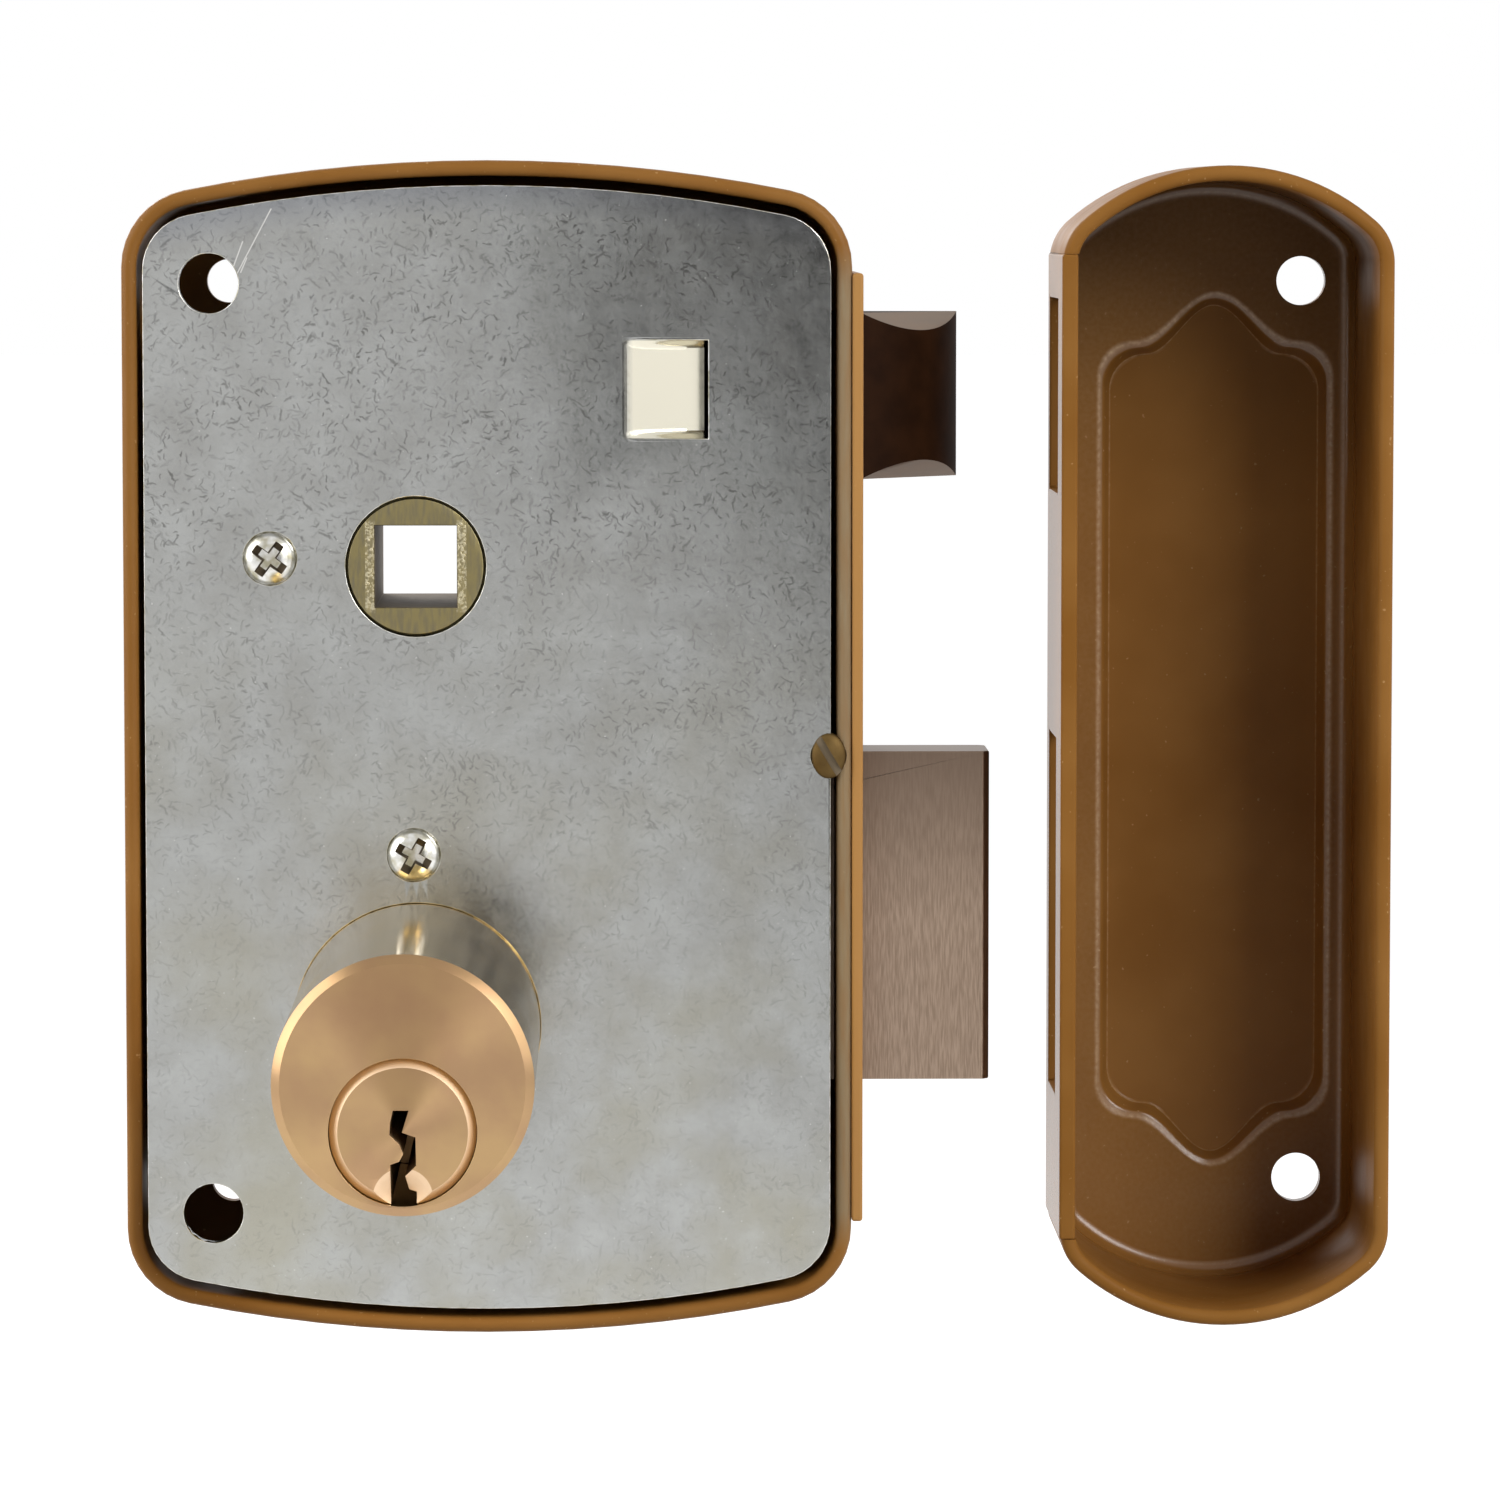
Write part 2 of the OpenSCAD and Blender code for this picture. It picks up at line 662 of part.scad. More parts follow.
module latch_head() {
    color("saddlebrown") translate([0, 0, latch_z]) difference() {
        along_z(-latch_h / 2, latch_h / 2) latch_plan();
        latch_end_bevel();
        mirror([0, 0, 1]) latch_end_bevel();
        translate([0, 0, -latch_z]) block(
            [latch_rear - over, bolt_y - latch_tail_t / 2 - seat_gap, latch_tail_low - seat_gap],
            [latch_rear + latch_socket, bolt_y + latch_tail_t / 2 + seat_gap, latch_tail_high + seat_gap]);
        translate([0, 0, latch_tail_z - latch_z]) at([latch_rear + latch_socket / 2, 0])
            rod_y(latch_pin_d + 2 * seat_gap, latch_front_y - over, latch_back_y + over);
    }
}

module latch_tail() {
    color("slategray") difference() {
        union() {
            block([latch_tail_end, bolt_y - latch_tail_t / 2, latch_tail_low],
                [latch_rear + latch_socket - seat_gap, bolt_y + latch_tail_t / 2, latch_tail_high]);
            block([lug_face - lug_w, bolt_y - lever_t / 2, hub_z + lever_ring_d / 2],
                [lug_face, bolt_y + lever_t / 2, latch_tail_low + over]);
            translate([latch_tail_end - spigot_len, bolt_y, latch_tail_z]) rotate([0, 90, 0])
                cylinder(d = spigot_d, h = spigot_len + over);
        }
        at([latch_rear + latch_socket / 2, latch_tail_z])
            rod_y(latch_pin_d + 2 * seat_gap, 0, case_depth);
    }
}

module latch_pin() {
    color("gainsboro") at([latch_rear + latch_socket / 2, latch_tail_z])
        rod_y(latch_pin_d, latch_front_y, latch_back_y);
}

module latch_guide() {
    gap = window_gap;
    color("darkgray") difference() {
        block([guide_x, bolt_y - latch_tail_t / 2 - guide_wall, latch_tail_low - guide_wall],
            [guide_x + guide_w, floor_y, latch_tail_high + guide_wall]);
        block([guide_x - over, bolt_y - latch_tail_t / 2 - gap, latch_tail_low - gap],
            [guide_x + guide_w + over, bolt_y + latch_tail_t / 2 + gap, latch_tail_high + gap]);
    }
}

module latch_spring_stop() {
    half = latch_tail_h / 2 + spring_stop_rim;
    color("darkgray") {
        block([spring_stop_x, bolt_y - latch_tail_t / 2, latch_tail_z - half],
            [spring_stop_x + spring_stop_t, floor_y, latch_tail_z + half]);
        block([spring_stop_x + over / 2, floor_y - spring_stop_t, latch_tail_z - half],
            [spring_stop_x + spring_stop_foot, floor_y, latch_tail_z + half]);
    }
}

module latch_spring() {
    from = spring_stop_x + spring_stop_t;
    color("lightgray") translate([from, bolt_y, latch_tail_z]) rotate([0, 90, 0])
        coil(spring_d, spring_wire, spring_turns, latch_tail_end - from, 12, 6);
}

module deadbolt_head() {
    c = bolt_chamfer;
    front = bolt_y - bolt_t / 2;
    back = bolt_y + bolt_t / 2;
    color("rosybrown") difference() {
        along_z(bolt_bottom, bolt_top) polygon([[bolt_rear, front], [bolt_tip - c, front],
            [bolt_tip, front + c], [bolt_tip, back - c], [bolt_tip - c, back], [bolt_rear, back]]);
        block([bolt_rear - over, bolt_y - bolt_tail_t / 2 - seat_gap, gate_mouth - seat_gap],
            [bolt_rear + bolt_socket, bolt_tail_back + seat_gap, bolt_tail_top + seat_gap]);
        rivet_places() rod_y(rivet_d + 2 * seat_gap, front - over, back + over);
    }
}

module rivet_places() {
    for (z = rivet_levels) at([bolt_rear + bolt_socket / 2, z]) children();
}

module deadbolt_tail() {
    slot_left = post_over_cylinder.x - slot_half - slot_end_gap;
    slot_right = post_over_cylinder.x + bolt_travel + slot_half + slot_end_gap;
    color("slategray") difference() {
        block([bolt_tail_left, bolt_y - bolt_tail_t / 2, gate_mouth],
            [bolt_rear + bolt_socket - seat_gap, bolt_tail_back, bolt_tail_top]);
        block([slot_left, 0, post_over_cylinder.y - slot_half],
            [slot_right, case_depth, post_over_cylinder.y + slot_half]);
        block([gate_x - gate_half, 0, gate_mouth - over], [gate_x + gate_half, case_depth, gate_top]);
        rivet_places() rod_y(rivet_d + 2 * seat_gap, 0, case_depth);
    }
}

module deadbolt_rivets() {
    color("gainsboro") rivet_places() rod_y(rivet_d, bolt_y - bolt_t / 2, bolt_y + bolt_t / 2);
}

// Leaf spring from the room face of the case to the back of the deadbolt's tail
module bolt_friction_spring() {
    foot_x = -wall_x + leaf_inset;
    foot_end = foot_x + leaf_foot;
    touch_x = post_over_cylinder.x - leaf_reach;
    touch_y = bolt_tail_back + leaf_touch_gap;
    toe_y = touch_y + leaf_lip;
    color("lightgray") along_z(leaf_z, leaf_z + leaf_h) polygon([
        [foot_x, floor_y], [foot_x, floor_y - leaf_t], [foot_end, floor_y - leaf_t],
        [touch_x - leaf_pad, touch_y], [touch_x, touch_y], [touch_x + leaf_toe, toe_y],
        [touch_x + leaf_toe, toe_y + leaf_t], [touch_x - leaf_pad + leaf_t, touch_y + leaf_t],
        [foot_end + leaf_t, floor_y]]);
}

// Upright chambers of the pins, from the plug up into the cylinder
module chambers(from, to) {
    for (y = pin_y) translate([plug_x, y, from]) cylinder(r = chamber_r, h = to - from);
}

module cylinder_body() {
    r = cylinder_d / 2;
    c = cylinder_chamfer;
    groove = r - clip_groove;
    color("tan") difference() {
        at([-cylinder_x, -cylinder_z]) turned([[0, -cylinder_out], [r - c, -cylinder_out],
            [r, c - cylinder_out], [r, plate_t], [groove, plate_t], [groove, plate_t + clip_t],
            [r, plate_t + clip_t], [r, cylinder_in], [0, cylinder_in]]);
        at([plug_x, plug_z]) rod_y(plug_d + 2 * bearing_gap, -cylinder_out - over, cylinder_in + over);
        chambers(plug_z, chamber_top);
    }
}

module cylinder_clip() {
    hole_r = cylinder_d / 2 - clip_groove + seat_gap;
    color("lightgray") at([-cylinder_x, -cylinder_z]) along_y(plate_t, plate_t + clip_t) difference() {
        translate([-clip_half_w, -clip_half_w]) square([2 * clip_half_w, clip_half_w + clip_top]);
        circle(r = hole_r);
        translate([-hole_r, -clip_half_w - over]) square([2 * hole_r, clip_half_w + over]);
    }
}

module cylinder_plug() {
    r = plug_d / 2;
    groove = r - plug_groove;
    groove_end = plug_groove_y + plug_groove_w;
    color("burlywood") difference() {
        at([plug_x, plug_z]) turned([[0, -cylinder_out], [r - plug_chamfer, -cylinder_out],
            [r, plug_chamfer - cylinder_out], [r, plug_groove_y], [groove, plug_groove_y],
            [groove, groove_end], [r, groove_end], [r, plug_out], [0, plug_out]]);
        at([plug_x, plug_z]) along_y(-cylinder_out - over, keyway_end) polygon(keyway);
        at([plug_x, plug_z + countersink_z]) translate([0, -cylinder_out, 0]) rotate([-90, 0, 0])
            cylinder(r1 = countersink_r, r2 = 0, h = countersink_depth);
        chambers(plug_z, plug_z + plug_d);
        tail_square_hole(tail_start, plug_out + over);
    }
}

// Square hole that takes the tail bar
module tail_square_hole(from, to) {
    half = tail_square / 2 + seat_gap;
    translate([plug_x, 0, plug_z]) block([-half, from, -half], [half, to, half]);
}

module plug_clip() {
    color("dimgray") at([plug_x, plug_z]) along_y(plug_groove_y, plug_groove_y + plug_groove_w) difference() {
        circle(d = plug_clip_d);
        circle(r = plug_d / 2 - plug_groove + seat_gap);
        translate([-plug_clip_mouth / 2, -plug_clip_d]) square([plug_clip_mouth, plug_clip_d]);
    }
}

module key_pins() {
    color("khaki") for (i = [0:pin_count - 1])
        translate([plug_x, pin_y[i], key_pin_top - key_pin_len[i]]) cylinder(d = pin_d, h = key_pin_len[i]);
}

module driver_pins() {
    color("lightsteelblue") for (y = pin_y)
        translate([plug_x, y, driver_low]) cylinder(d = pin_d, h = driver_len);
}

module pin_springs() {
    from = driver_low + driver_len;
    color("lightgray") for (y = pin_y) translate([plug_x, y, from])
        coil(pin_d - 2 * pin_spring_gap, pin_spring_wire, 4, chamber_top - from, 8, 5);
}

module tail_bar() {
    half = tail_square / 2;
    color("slategray") translate([plug_x, 0, plug_z])
        block([-half, tail_start, -half], [half, case_depth + turn_out - turn_cap, half]);
}

module bolt_cam() {
    hub_from = plug_out + cam_from_plug;
    hub_to = bolt_y + cam_back;
    arm_from = bolt_y - bolt_tail_t / 2 - cam_side_gap;
    arm_to = bolt_tail_back + cam_side_gap;
    color("gray") difference() {
        at([plug_x, plug_z]) {
            rod_y(cam_hub_d, hub_from, hub_to);
            rotate([0, cam_half_turn, 0]) along_y(arm_from, arm_to) {
                translate([-cam_arm_w / 2, 0]) square([cam_arm_w, cam_r]);
                translate([0, cam_r]) circle(r = cam_tip_r);
            }
        }
        tail_square_hole(hub_from - over, hub_to + over);
    }
}

module thumb_turn() {
    neck = neck_d / 2;
    flange_from = bolt_y + cam_back + flange_from_cam;
    flange_to = floor_y - neck_flange_gap;
    collar_y = case_depth + collar_gap;
    collar_r = turn_collar_d / 2;
    wing_y = collar_y + collar_h;
    color("peru") difference() {
        at([plug_x, plug_z]) {
            turned([[0, flange_from], [neck_flange_d / 2, flange_from], [neck_flange_d / 2, flange_to],
                [neck, flange_to], [neck, collar_y], [collar_r, collar_y], [collar_r, wing_y - collar_bevel],
                [collar_r - collar_bevel, wing_y], [0, wing_y]]);
            along_y(wing_y - over, case_depth + turn_out) {
                square([wing_w, turn_wing - wing_w], center = true);
                for (side = [-1, 1]) translate([0, side * (turn_wing - wing_w) / 2]) circle(d = wing_w);
            }
        }
        tail_square_hole(flange_from - over, case_depth + turn_out - turn_cap + seat_gap);
    }
}

module keeper_box() {
    floor_in = keeper_depth - keeper_sheet;
    color("peru") translate([keeper_x, 0, 0]) difference() {
        union() {
            drawn_box(keeper_half_w, keeper_half_h, keeper_arch_r, keeper_corner_r, keeper_depth,
                keeper_sheet, keeper_fold_r);
            at([panel_shift, 0]) along_y(floor_in + keeper_sheet / 2, keeper_depth + panel_press)
                polygon(panel_outline(panel_rim));
        }
        at([panel_shift, 0]) along_y(floor_in - over, keeper_depth + panel_press - keeper_sheet)
            polygon(panel_outline(0));
        for (side = [-1, 1]) at([keeper_hole_x - keeper_x, side * keeper_hole_spacing / 2])
            rod_y(keeper_hole_d, floor_in - over, keeper_depth + over);
        block([-keeper_half_w - over, -over, -strike_h / 2],
            [2 * keeper_sheet - keeper_half_w, keeper_depth - keeper_fold_r, strike_h / 2]);
    }
}

module keeper_strike_plate() {
    color("peru") difference() {
        block([strike_x, 0, -strike_h / 2],
            [strike_x + strike_t, keeper_depth - keeper_fold_r, strike_h / 2]);
        both_windows(strike_x - over, strike_x + strike_t + over, slot_gap);
    }
}

case_cover();
forend_plate();
mounting_plate();
plate_screws();
plate_posts();
seam_screw();
spindle_hub();
hub_lever();
latch_head();
latch_tail();
latch_pin();
latch_guide();
latch_spring();
latch_spring_stop();
deadbolt_head();
deadbolt_tail();
deadbolt_rivets();
bolt_friction_spring();
cylinder_body();
cylinder_clip();
cylinder_plug();
plug_clip();
key_pins();
driver_pins();
pin_springs();
tail_bar();
bolt_cam();
thumb_turn();
keeper_box();
keeper_strike_plate();
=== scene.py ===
"""Rim box lock with its keeper: the looks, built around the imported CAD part."""

import math
from functools import partial

import bmesh
import bpy
from bpy.props import FloatProperty, FloatVectorProperty, PointerProperty
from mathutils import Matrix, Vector
from mathutils.geometry import tessellate_polygon


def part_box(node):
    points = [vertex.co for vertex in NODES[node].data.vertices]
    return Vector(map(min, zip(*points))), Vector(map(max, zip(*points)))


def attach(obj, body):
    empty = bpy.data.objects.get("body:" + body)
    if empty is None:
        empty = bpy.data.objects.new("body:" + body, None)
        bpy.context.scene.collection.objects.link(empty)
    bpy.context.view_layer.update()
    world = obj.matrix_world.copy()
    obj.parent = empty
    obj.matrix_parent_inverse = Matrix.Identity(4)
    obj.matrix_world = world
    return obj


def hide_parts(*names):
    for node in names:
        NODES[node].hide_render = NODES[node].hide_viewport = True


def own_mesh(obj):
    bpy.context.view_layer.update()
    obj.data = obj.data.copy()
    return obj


bl_info = {
    "name": "Rim Box Lock",
    "version": (1, 0, 0),
    "blender": (4, 5, 0),
    "location": "View3D > Sidebar > Rim Lock",
    "description": "Dresses the packed rim box lock and its keeper, and sets the studio stage",
    "category": "Object",
}

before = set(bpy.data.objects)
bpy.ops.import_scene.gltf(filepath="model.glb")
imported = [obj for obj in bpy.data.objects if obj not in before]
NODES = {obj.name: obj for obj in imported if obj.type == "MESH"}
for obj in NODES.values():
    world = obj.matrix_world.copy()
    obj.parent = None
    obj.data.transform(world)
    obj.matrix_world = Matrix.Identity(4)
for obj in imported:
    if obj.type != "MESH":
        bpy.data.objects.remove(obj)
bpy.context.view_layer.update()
MM = 0.001

# Angles between faces, in degrees, over which an edge counts as sharp
SHARP, SHARP_ON_KEEPER, SHARP_ON_SCREWS = 38, 34, 30

# Shares of an axis by which faces are sorted, and the reach of the hub's bore as a share of its square
LEVEL, FACING, RECESS_LEVEL = 0.02, 0.5, 0.8
BARREL, CHAMFER, BEVEL = (-1.0, 0.4), (0.3, 0.97), (0.3, 0.95)
BORE_REACH = 0.52

# Distances under which corners are joined, in CAD meshes and in new ones, and the steps of an edge radius
WELD_CAD, WELD_NEW, EDGE_SEGMENTS = MM / 1000, MM / 500, 3

# Steps along the curves of the keeper, the screws and the spring
CORNER_STEPS, ARCH_STEPS, HOLE_STEPS = 14, 28, 48
FOLD_STEPS, LIP_STEPS, INNER_FOLD_STEPS = 12, 16, 10
SHOULDER_STEPS, PEAK_STEPS, BAND_STEPS = 10, 18, 16
RAMP_STEPS, SCREW_STEPS, SEAM_STEPS, LATHE_STEPS = 48, 24, 16, 96
SPRING_TURNS, STEPS_PER_TURN, WIRE_SIDES = 5, 32, 12

# The band round the keeper's panel, as shares: what lies outside the panel's outline, the shoulder's width,
# its round start and its drop, and the steep fall's start and run
BAND_OUTSIDE = 0.42
SHOULDER_WIDTH, SHOULDER_ROUND, SHOULDER_DROP = 0.6, 0.2, 0.17
FALL_START, FALL_RUN = 0.45, 0.5

# The ramp's smooth face: how far it laps over the plate, how far it lies before it, and its round start
RAMP_LAP, RAMP_LIFT, RAMP_START = 0.3 * MM, 0.015 * MM, 0.05

# Screws: powers that round a pan head, the radius at which a head starts, as a length and as a share, the
# recess's shares of length and width at its floor, how far its cutter stands out, half the length of the
# seam screw's slot cutter, and that slot's top and floor as shares of the dome
HEAD_SPREAD, HEAD_CROWN = 0.75, 0.7
SCREW_AXIS, SEAM_AXIS = 0.02 * MM, 0.02
RECESS_FLOOR = (0.5, 0.6)
CUTTER_OVER, SLOT_HALF = 0.4 * MM, 4 * MM
SLOT_LEVELS = (2, 0.2)

# Hairlines in the zinc, in millimetres: cell, half length and half width, then the share of cells with one
HAIRLINES = ((1.3, 0.6, 0.13, 0.75), (1.9, 0.95, 0.15, 0.6), (0.8, 0.38, 0.13, 0.85))
# Scratches by the upper fixing hole, from and to, and their half width, in millimetres
SCRATCHES = (
    ((-24.6, 47.0), (-21.2, 53.4)),
    ((-24.9, 47.8), (-24.0, 50.2)),
    ((-24.2, 47.2), (-23.6, 48.6)),
)
SCRATCH_WIDTH = 0.09
# The middle of the plate's painted shade in its upper right corner, in millimetres
SHADED_CORNER = (36.0, 56.0, 0.0)

# The stage, in metres and watts: each softbox's place, width and power, then card, floor, light and lens
SOFTBOXES = {
    "right_softbox": ((0.34, -0.57, 0.0), 0.3, 0.28),
    "key_softbox": ((0.45, -0.55, 0.33), 0.3, 3.3),
    "left_softbox": ((-0.55, -0.13, 0.26), 0.62, 3.9),
    "rim_softbox": ((0.57, -0.1, 0.26), 0.55, 1.2),
    "back_softbox": ((-0.35, 0.65, 0.4), 0.5, 3.0),
    "front_fill": ((0.08, -0.8, 0.05), 0.6, 0.15),
}
CARD_EDGE = ((0.095, -0.09), (0.16, -0.60), (0.70, -0.60), (0.70, 0.12), (-0.02, 0.12))
CARD_Y = -0.85
FLOOR_SIDE, FLOOR_NEAR, FLOOR_FAR = 6, -3, 9
FLOOR_GLOW, ROOM_LIGHT = 0.93, 0.02
LENS_MM, SENSOR_MM, SIGHT = 169.7, 36, 20


def linear(code):
    """An sRGB hex colour as linear red, green, blue and a full alpha."""
    parts = [int(code[i : i + 2], 16) / 255 for i in (0, 2, 4)]
    return (*(p / 12.92 if p <= 0.04045 else ((p + 0.055) / 1.055) ** 2.4 for p in parts), 1.0)


def length(name, millimetres, description):
    return FloatProperty(
        name=name, description=description, default=millimetres * MM, unit="LENGTH", precision=5
    )


def tint(name, code, description):
    return FloatVectorProperty(
        name=name, description=description, default=linear(code), subtype="COLOR", size=4, min=0.0, max=1.0
    )


def angle(name, degrees, description):
    return FloatProperty(name=name, description=description, default=math.radians(degrees), subtype="ANGLE")


class RimLockSizes(bpy.types.PropertyGroup):
    sheet_edge: length("Sheet edge", 0.2, "Edge radius of sheared sheet metal")
    bar_edge: length("Bar edge", 0.3, "Edge radius of the forend and strike plates, twice the bolts'")
    turned_edge: length("Turned edge", 0.1, "Edge radius of turned pieces")
    turn_edge: length("Turn edge", 0.7, "Edge radius of the thumb turn")
    rubbed_from: length("Rubbed edge from", 34.4, "Where the case wall's rubbed edge begins, across")
    rubbed_to: length("Rubbed edge to", 36.1, "Where the case wall's rubbed edge ends, across")
    rubbed_half: length("Rubbed edge half", 50.0, "Half height of the case wall's rubbed edge")
    plate_arch: length("Plate arch", 149.55, "Radius of the mounting plate's top edge")
    plate_arch_z: length("Plate arch height", -93.8, "Height of the middle of the plate's top edge")
    ramp_left: length("Ramp left", 13.6, "Where the pressed ramp leaves the plate")
    ramp_width: length("Ramp width", 8.2, "Width of the pressed ramp")
    ramp_height: length("Ramp height", 9.7, "Height of the pressed ramp")
    ramp_middle: length("Ramp middle", 35.65, "Height of the ramp's middle over the lock's middle")
    ramp_press: length("Ramp press", 1.9, "How deep the ramp's smooth face ends")
    ramp_round: length("Ramp round", 1.1, "Width of the ramp's rounded sides")
    ramp_slit: length("Ramp slit", 0.4, "Open slit at the ramp's free end")
    keeper_arch: length("Keeper arch", 22.0, "Radius of the keeper's arched ends")
    keeper_corner: length("Keeper corner", 5.5, "Radius of the keeper's corners")
    keeper_fold: length("Keeper fold", 3.2, "Radius from the keeper's walls to its floor")
    keeper_sheet: length("Keeper sheet", 1.5, "Sheet thickness of the keeper")
    keeper_depth: length("Keeper depth", 26.0, "Depth of the keeper without its panel")
    keeper_hole: length("Keeper hole", 5.0, "Diameter of the keeper's fixing holes")
    keeper_hole_side: length("Keeper hole side", 9.4, "Distance of the holes from the keeper's middle")
    keeper_hole_spacing: length("Keeper hole spacing", 92.2, "Distance between the keeper's fixing holes")
    panel_half: length("Panel half width", 11.5, "Half width of the pressed panel")
    panel_shift: length("Panel shift", 0.7, "Distance of the pressed panel from the keeper's middle")
    panel_side: length("Panel side", 35.7, "Half height of the panel's straight sides")
    panel_shoulder: length("Panel shoulder", 3.7, "Radius of the panel's shoulders")
    panel_peak: length("Panel peak", 5.0, "Rise of the panel's peak over its shoulders")
    panel_press: length("Panel press", 2.0, "How far the panel is pressed towards the room")
    panel_band: length("Panel band", 1.8, "Width of the sloping band round the panel")
    screw_head: length("Screw head", 5.1, "Diameter of the plate screws' heads")
    screw_height: length("Screw height", 1.7, "Height of the plate screws' heads")
    screw_seat: length("Screw seat", 0.2, "Depth of the seat under the screw heads")
    recess_length: length("Recess length", 4.6, "Length of the cross recess")
    recess_width: length("Recess width", 1.15, "Width of the cross recess")
    recess_depth: length("Recess depth", 1.4, "Depth of the cross recess")
    upper_screw_turn: angle("Upper screw turn", 36, "Turn of the upper screw's recess")
    lower_screw_turn: angle("Lower screw turn", 29, "Turn of the lower screw's recess")
    seam_width: length("Seam screw width", 3.4, "Width of the seam screw's tilted head")
    seam_height: length("Seam screw height", 4.5, "Height of the seam screw's tilted head")
    seam_slot: length("Seam screw slot", 0.75, "Width of the seam screw's slot")
    seam_turn: angle("Seam screw turn", 59, "Slant of the seam screw's slot")
    spindle_square: length("Spindle square", 8.1, "Width of the hub's square")
    spring_wire: length("Spring wire", 0.7, "Wire thickness of the latch spring")
    camera_distance: length("Camera distance", 700, "Distance of the camera from the point it looks at")
    camera_rise: angle("Camera rise", 4.4, "Height angle of the camera")
    camera_side: angle("Camera side", 1.05, "Angle by which the camera stands to the left")
    aim_x: length("Aim across", 25.9, "Point in the middle of the picture, across")
    aim_z: length("Aim height", 0.0, "Point in the middle of the picture, height")
    floor_drop: length("Floor drop", 150, "Height of the lock's middle over the floor")


class RimLockColours(bpy.types.PropertyGroup):
    enamel: tint("Enamel", "9c6d36", "Brown stoved enamel")
    enamel_dark: tint("Enamel, dark", "8d5e28", "Brown enamel where it lies thick")
    enamel_speck: tint("Enamel speck", "b58a58", "Dust and rubbed spots on the enamel")
    # Painted light: a lighter copy of the enamel for the forend plate
    enamel_tan: tint("Enamel, tan", "c39155", "Lighter enamel of the forend plate")
    # Painted shade: darkens the keeper's inside, most of all high up
    enamel_deep: tint("Enamel, deep", "3a240d", "Enamel lying thick inside the keeper")
    # Painted highlight: lightens the fold and the bends of the keeper's panel
    enamel_thin: tint("Enamel, thin", "d2b48c", "Enamel worn thin on the keeper's bends")
    enamel_rubbed: tint("Enamel, rubbed", "9a886b", "Enamel rubbed down to its ground coat")
    zinc: tint("Zinc", "afb0ae", "Zinc plating")
    zinc_dull: tint("Zinc, dull", "a1a19e", "Zinc plating where it has dulled")
    zinc_yellow: tint("Zinc, yellow", "a8a38d", "Yellow bloom on the zinc plating")
    # Real fine marks, and also the painted shade in the plate's upper right corner
    zinc_mark: tint("Zinc mark", "5a5956", "Fine marks in the zinc plating")
    # Painted shade along the plate's arched top edge, and real dark flecks high up
    zinc_edge: tint("Zinc edge", "7f828a", "Zinc plating near the sheared edge")
    # Also used for painted glints and real scratches on the plate
    zinc_bright: tint("Bright zinc", "d9d8d4", "Bright zinc of the screws")
    # Painted highlight: the pressed ramp made brighter
    zinc_pressed: tint("Pressed zinc", "dad5c4", "Zinc smoothed by the press tool")
    brass: tint("Brass", "ad8b69", "Satin turned face of the cylinder")
    # Painted shade: the cylinder's face darkened above the plug
    brass_shade: tint("Brass, shade", "6f4f33", "Brass above the plug, where the brushing turns dark")
    # Painted highlight: lighter brass on the plug's chamfer and countersink
    brass_cut: tint("Brass, cut", "dcc0a0", "Matt brass where the cutter has been")
    brass_side: tint("Brass side", "d8bb7e", "Polished side of the cylinder")
    brass_aged: tint("Brass, aged", "43321b", "Browned brass of the seam screw")
    brass_worn: tint("Brass, worn", "6a5634", "Browned brass where it is rubbed")
    yellow: tint("Passivated", "827753", "Yellow passivated steel")
    burr: tint("Burr", "c9c0a4", "Bright burr beside the hub's square")
    # Painted shade in the hub's square, the cross recesses and the slot
    bore: tint("Bore", "6b5f4e", "Walls of the hub's square, the cross recesses and the slot")
    latch_dark: tint("Latch dark", "2c180a", "Browned striking face of the latch")
    latch_deep: tint("Latch, deep", "221106", "Browned face where the finish lies thick")
    latch_ground: tint("Latch ground", "7c7269", "Ground bevels of the latch")
    bolt: tint("Bolt", "9d8978", "Drawn steel of the deadbolt")
    bolt_dark: tint("Bolt, dark", "887565", "Grain lines of the deadbolt")
    # Painted shade: the deadbolt darkened towards its top
    bolt_dull: tint("Bolt, dull", "6a5a4e", "Deadbolt towards its top")
    steel: tint("Steel", "8f8f8f", "Plain steel inside the case")
    card: tint("Card", "1b1b1b", "Dark card beside the camera")
    floor: tint("Floor", "a8a8a8", "Studio floor")
    backdrop: tint("Backdrop", "ffffff", "Floor and background as they are seen")


def sizes():
    return bpy.context.scene.rim_lock_sizes


def colours():
    return bpy.context.scene.rim_lock_colours


# Settings of a Mix node for colours, and its output that carries them
COLOUR_MIX = {"data_type": "RGBA", "output": 2}


def add_node(tree, kind, inputs, output=0, **settings):
    """Adds a node with its settings, values and links, and gives one of its outputs."""
    node = tree.nodes.new("ShaderNode" + kind)
    for key, value in settings.items():
        setattr(node, key, value)
    for key, value in inputs.items():
        if isinstance(value, bpy.types.NodeSocket):
            tree.links.new(value, node.inputs[key])
        else:
            node.inputs[key].default_value = value
    return node.outputs[output] if node.outputs else None


def mottle(add, place, width, low=0.0, high=1.0, first=0.0, last=1.0, detail=3.0, roughness=0.5):
    """Soft patches of a width in millimetres: a noise whose levels low to high become first to last."""
    noise = {"Vector": place, "Scale": 1 / width, "Detail": detail, "Roughness": roughness}
    level = add("TexNoise", noise)
    return add("MapRange", {0: level, 1: low, 2: high, 3: first, 4: last})


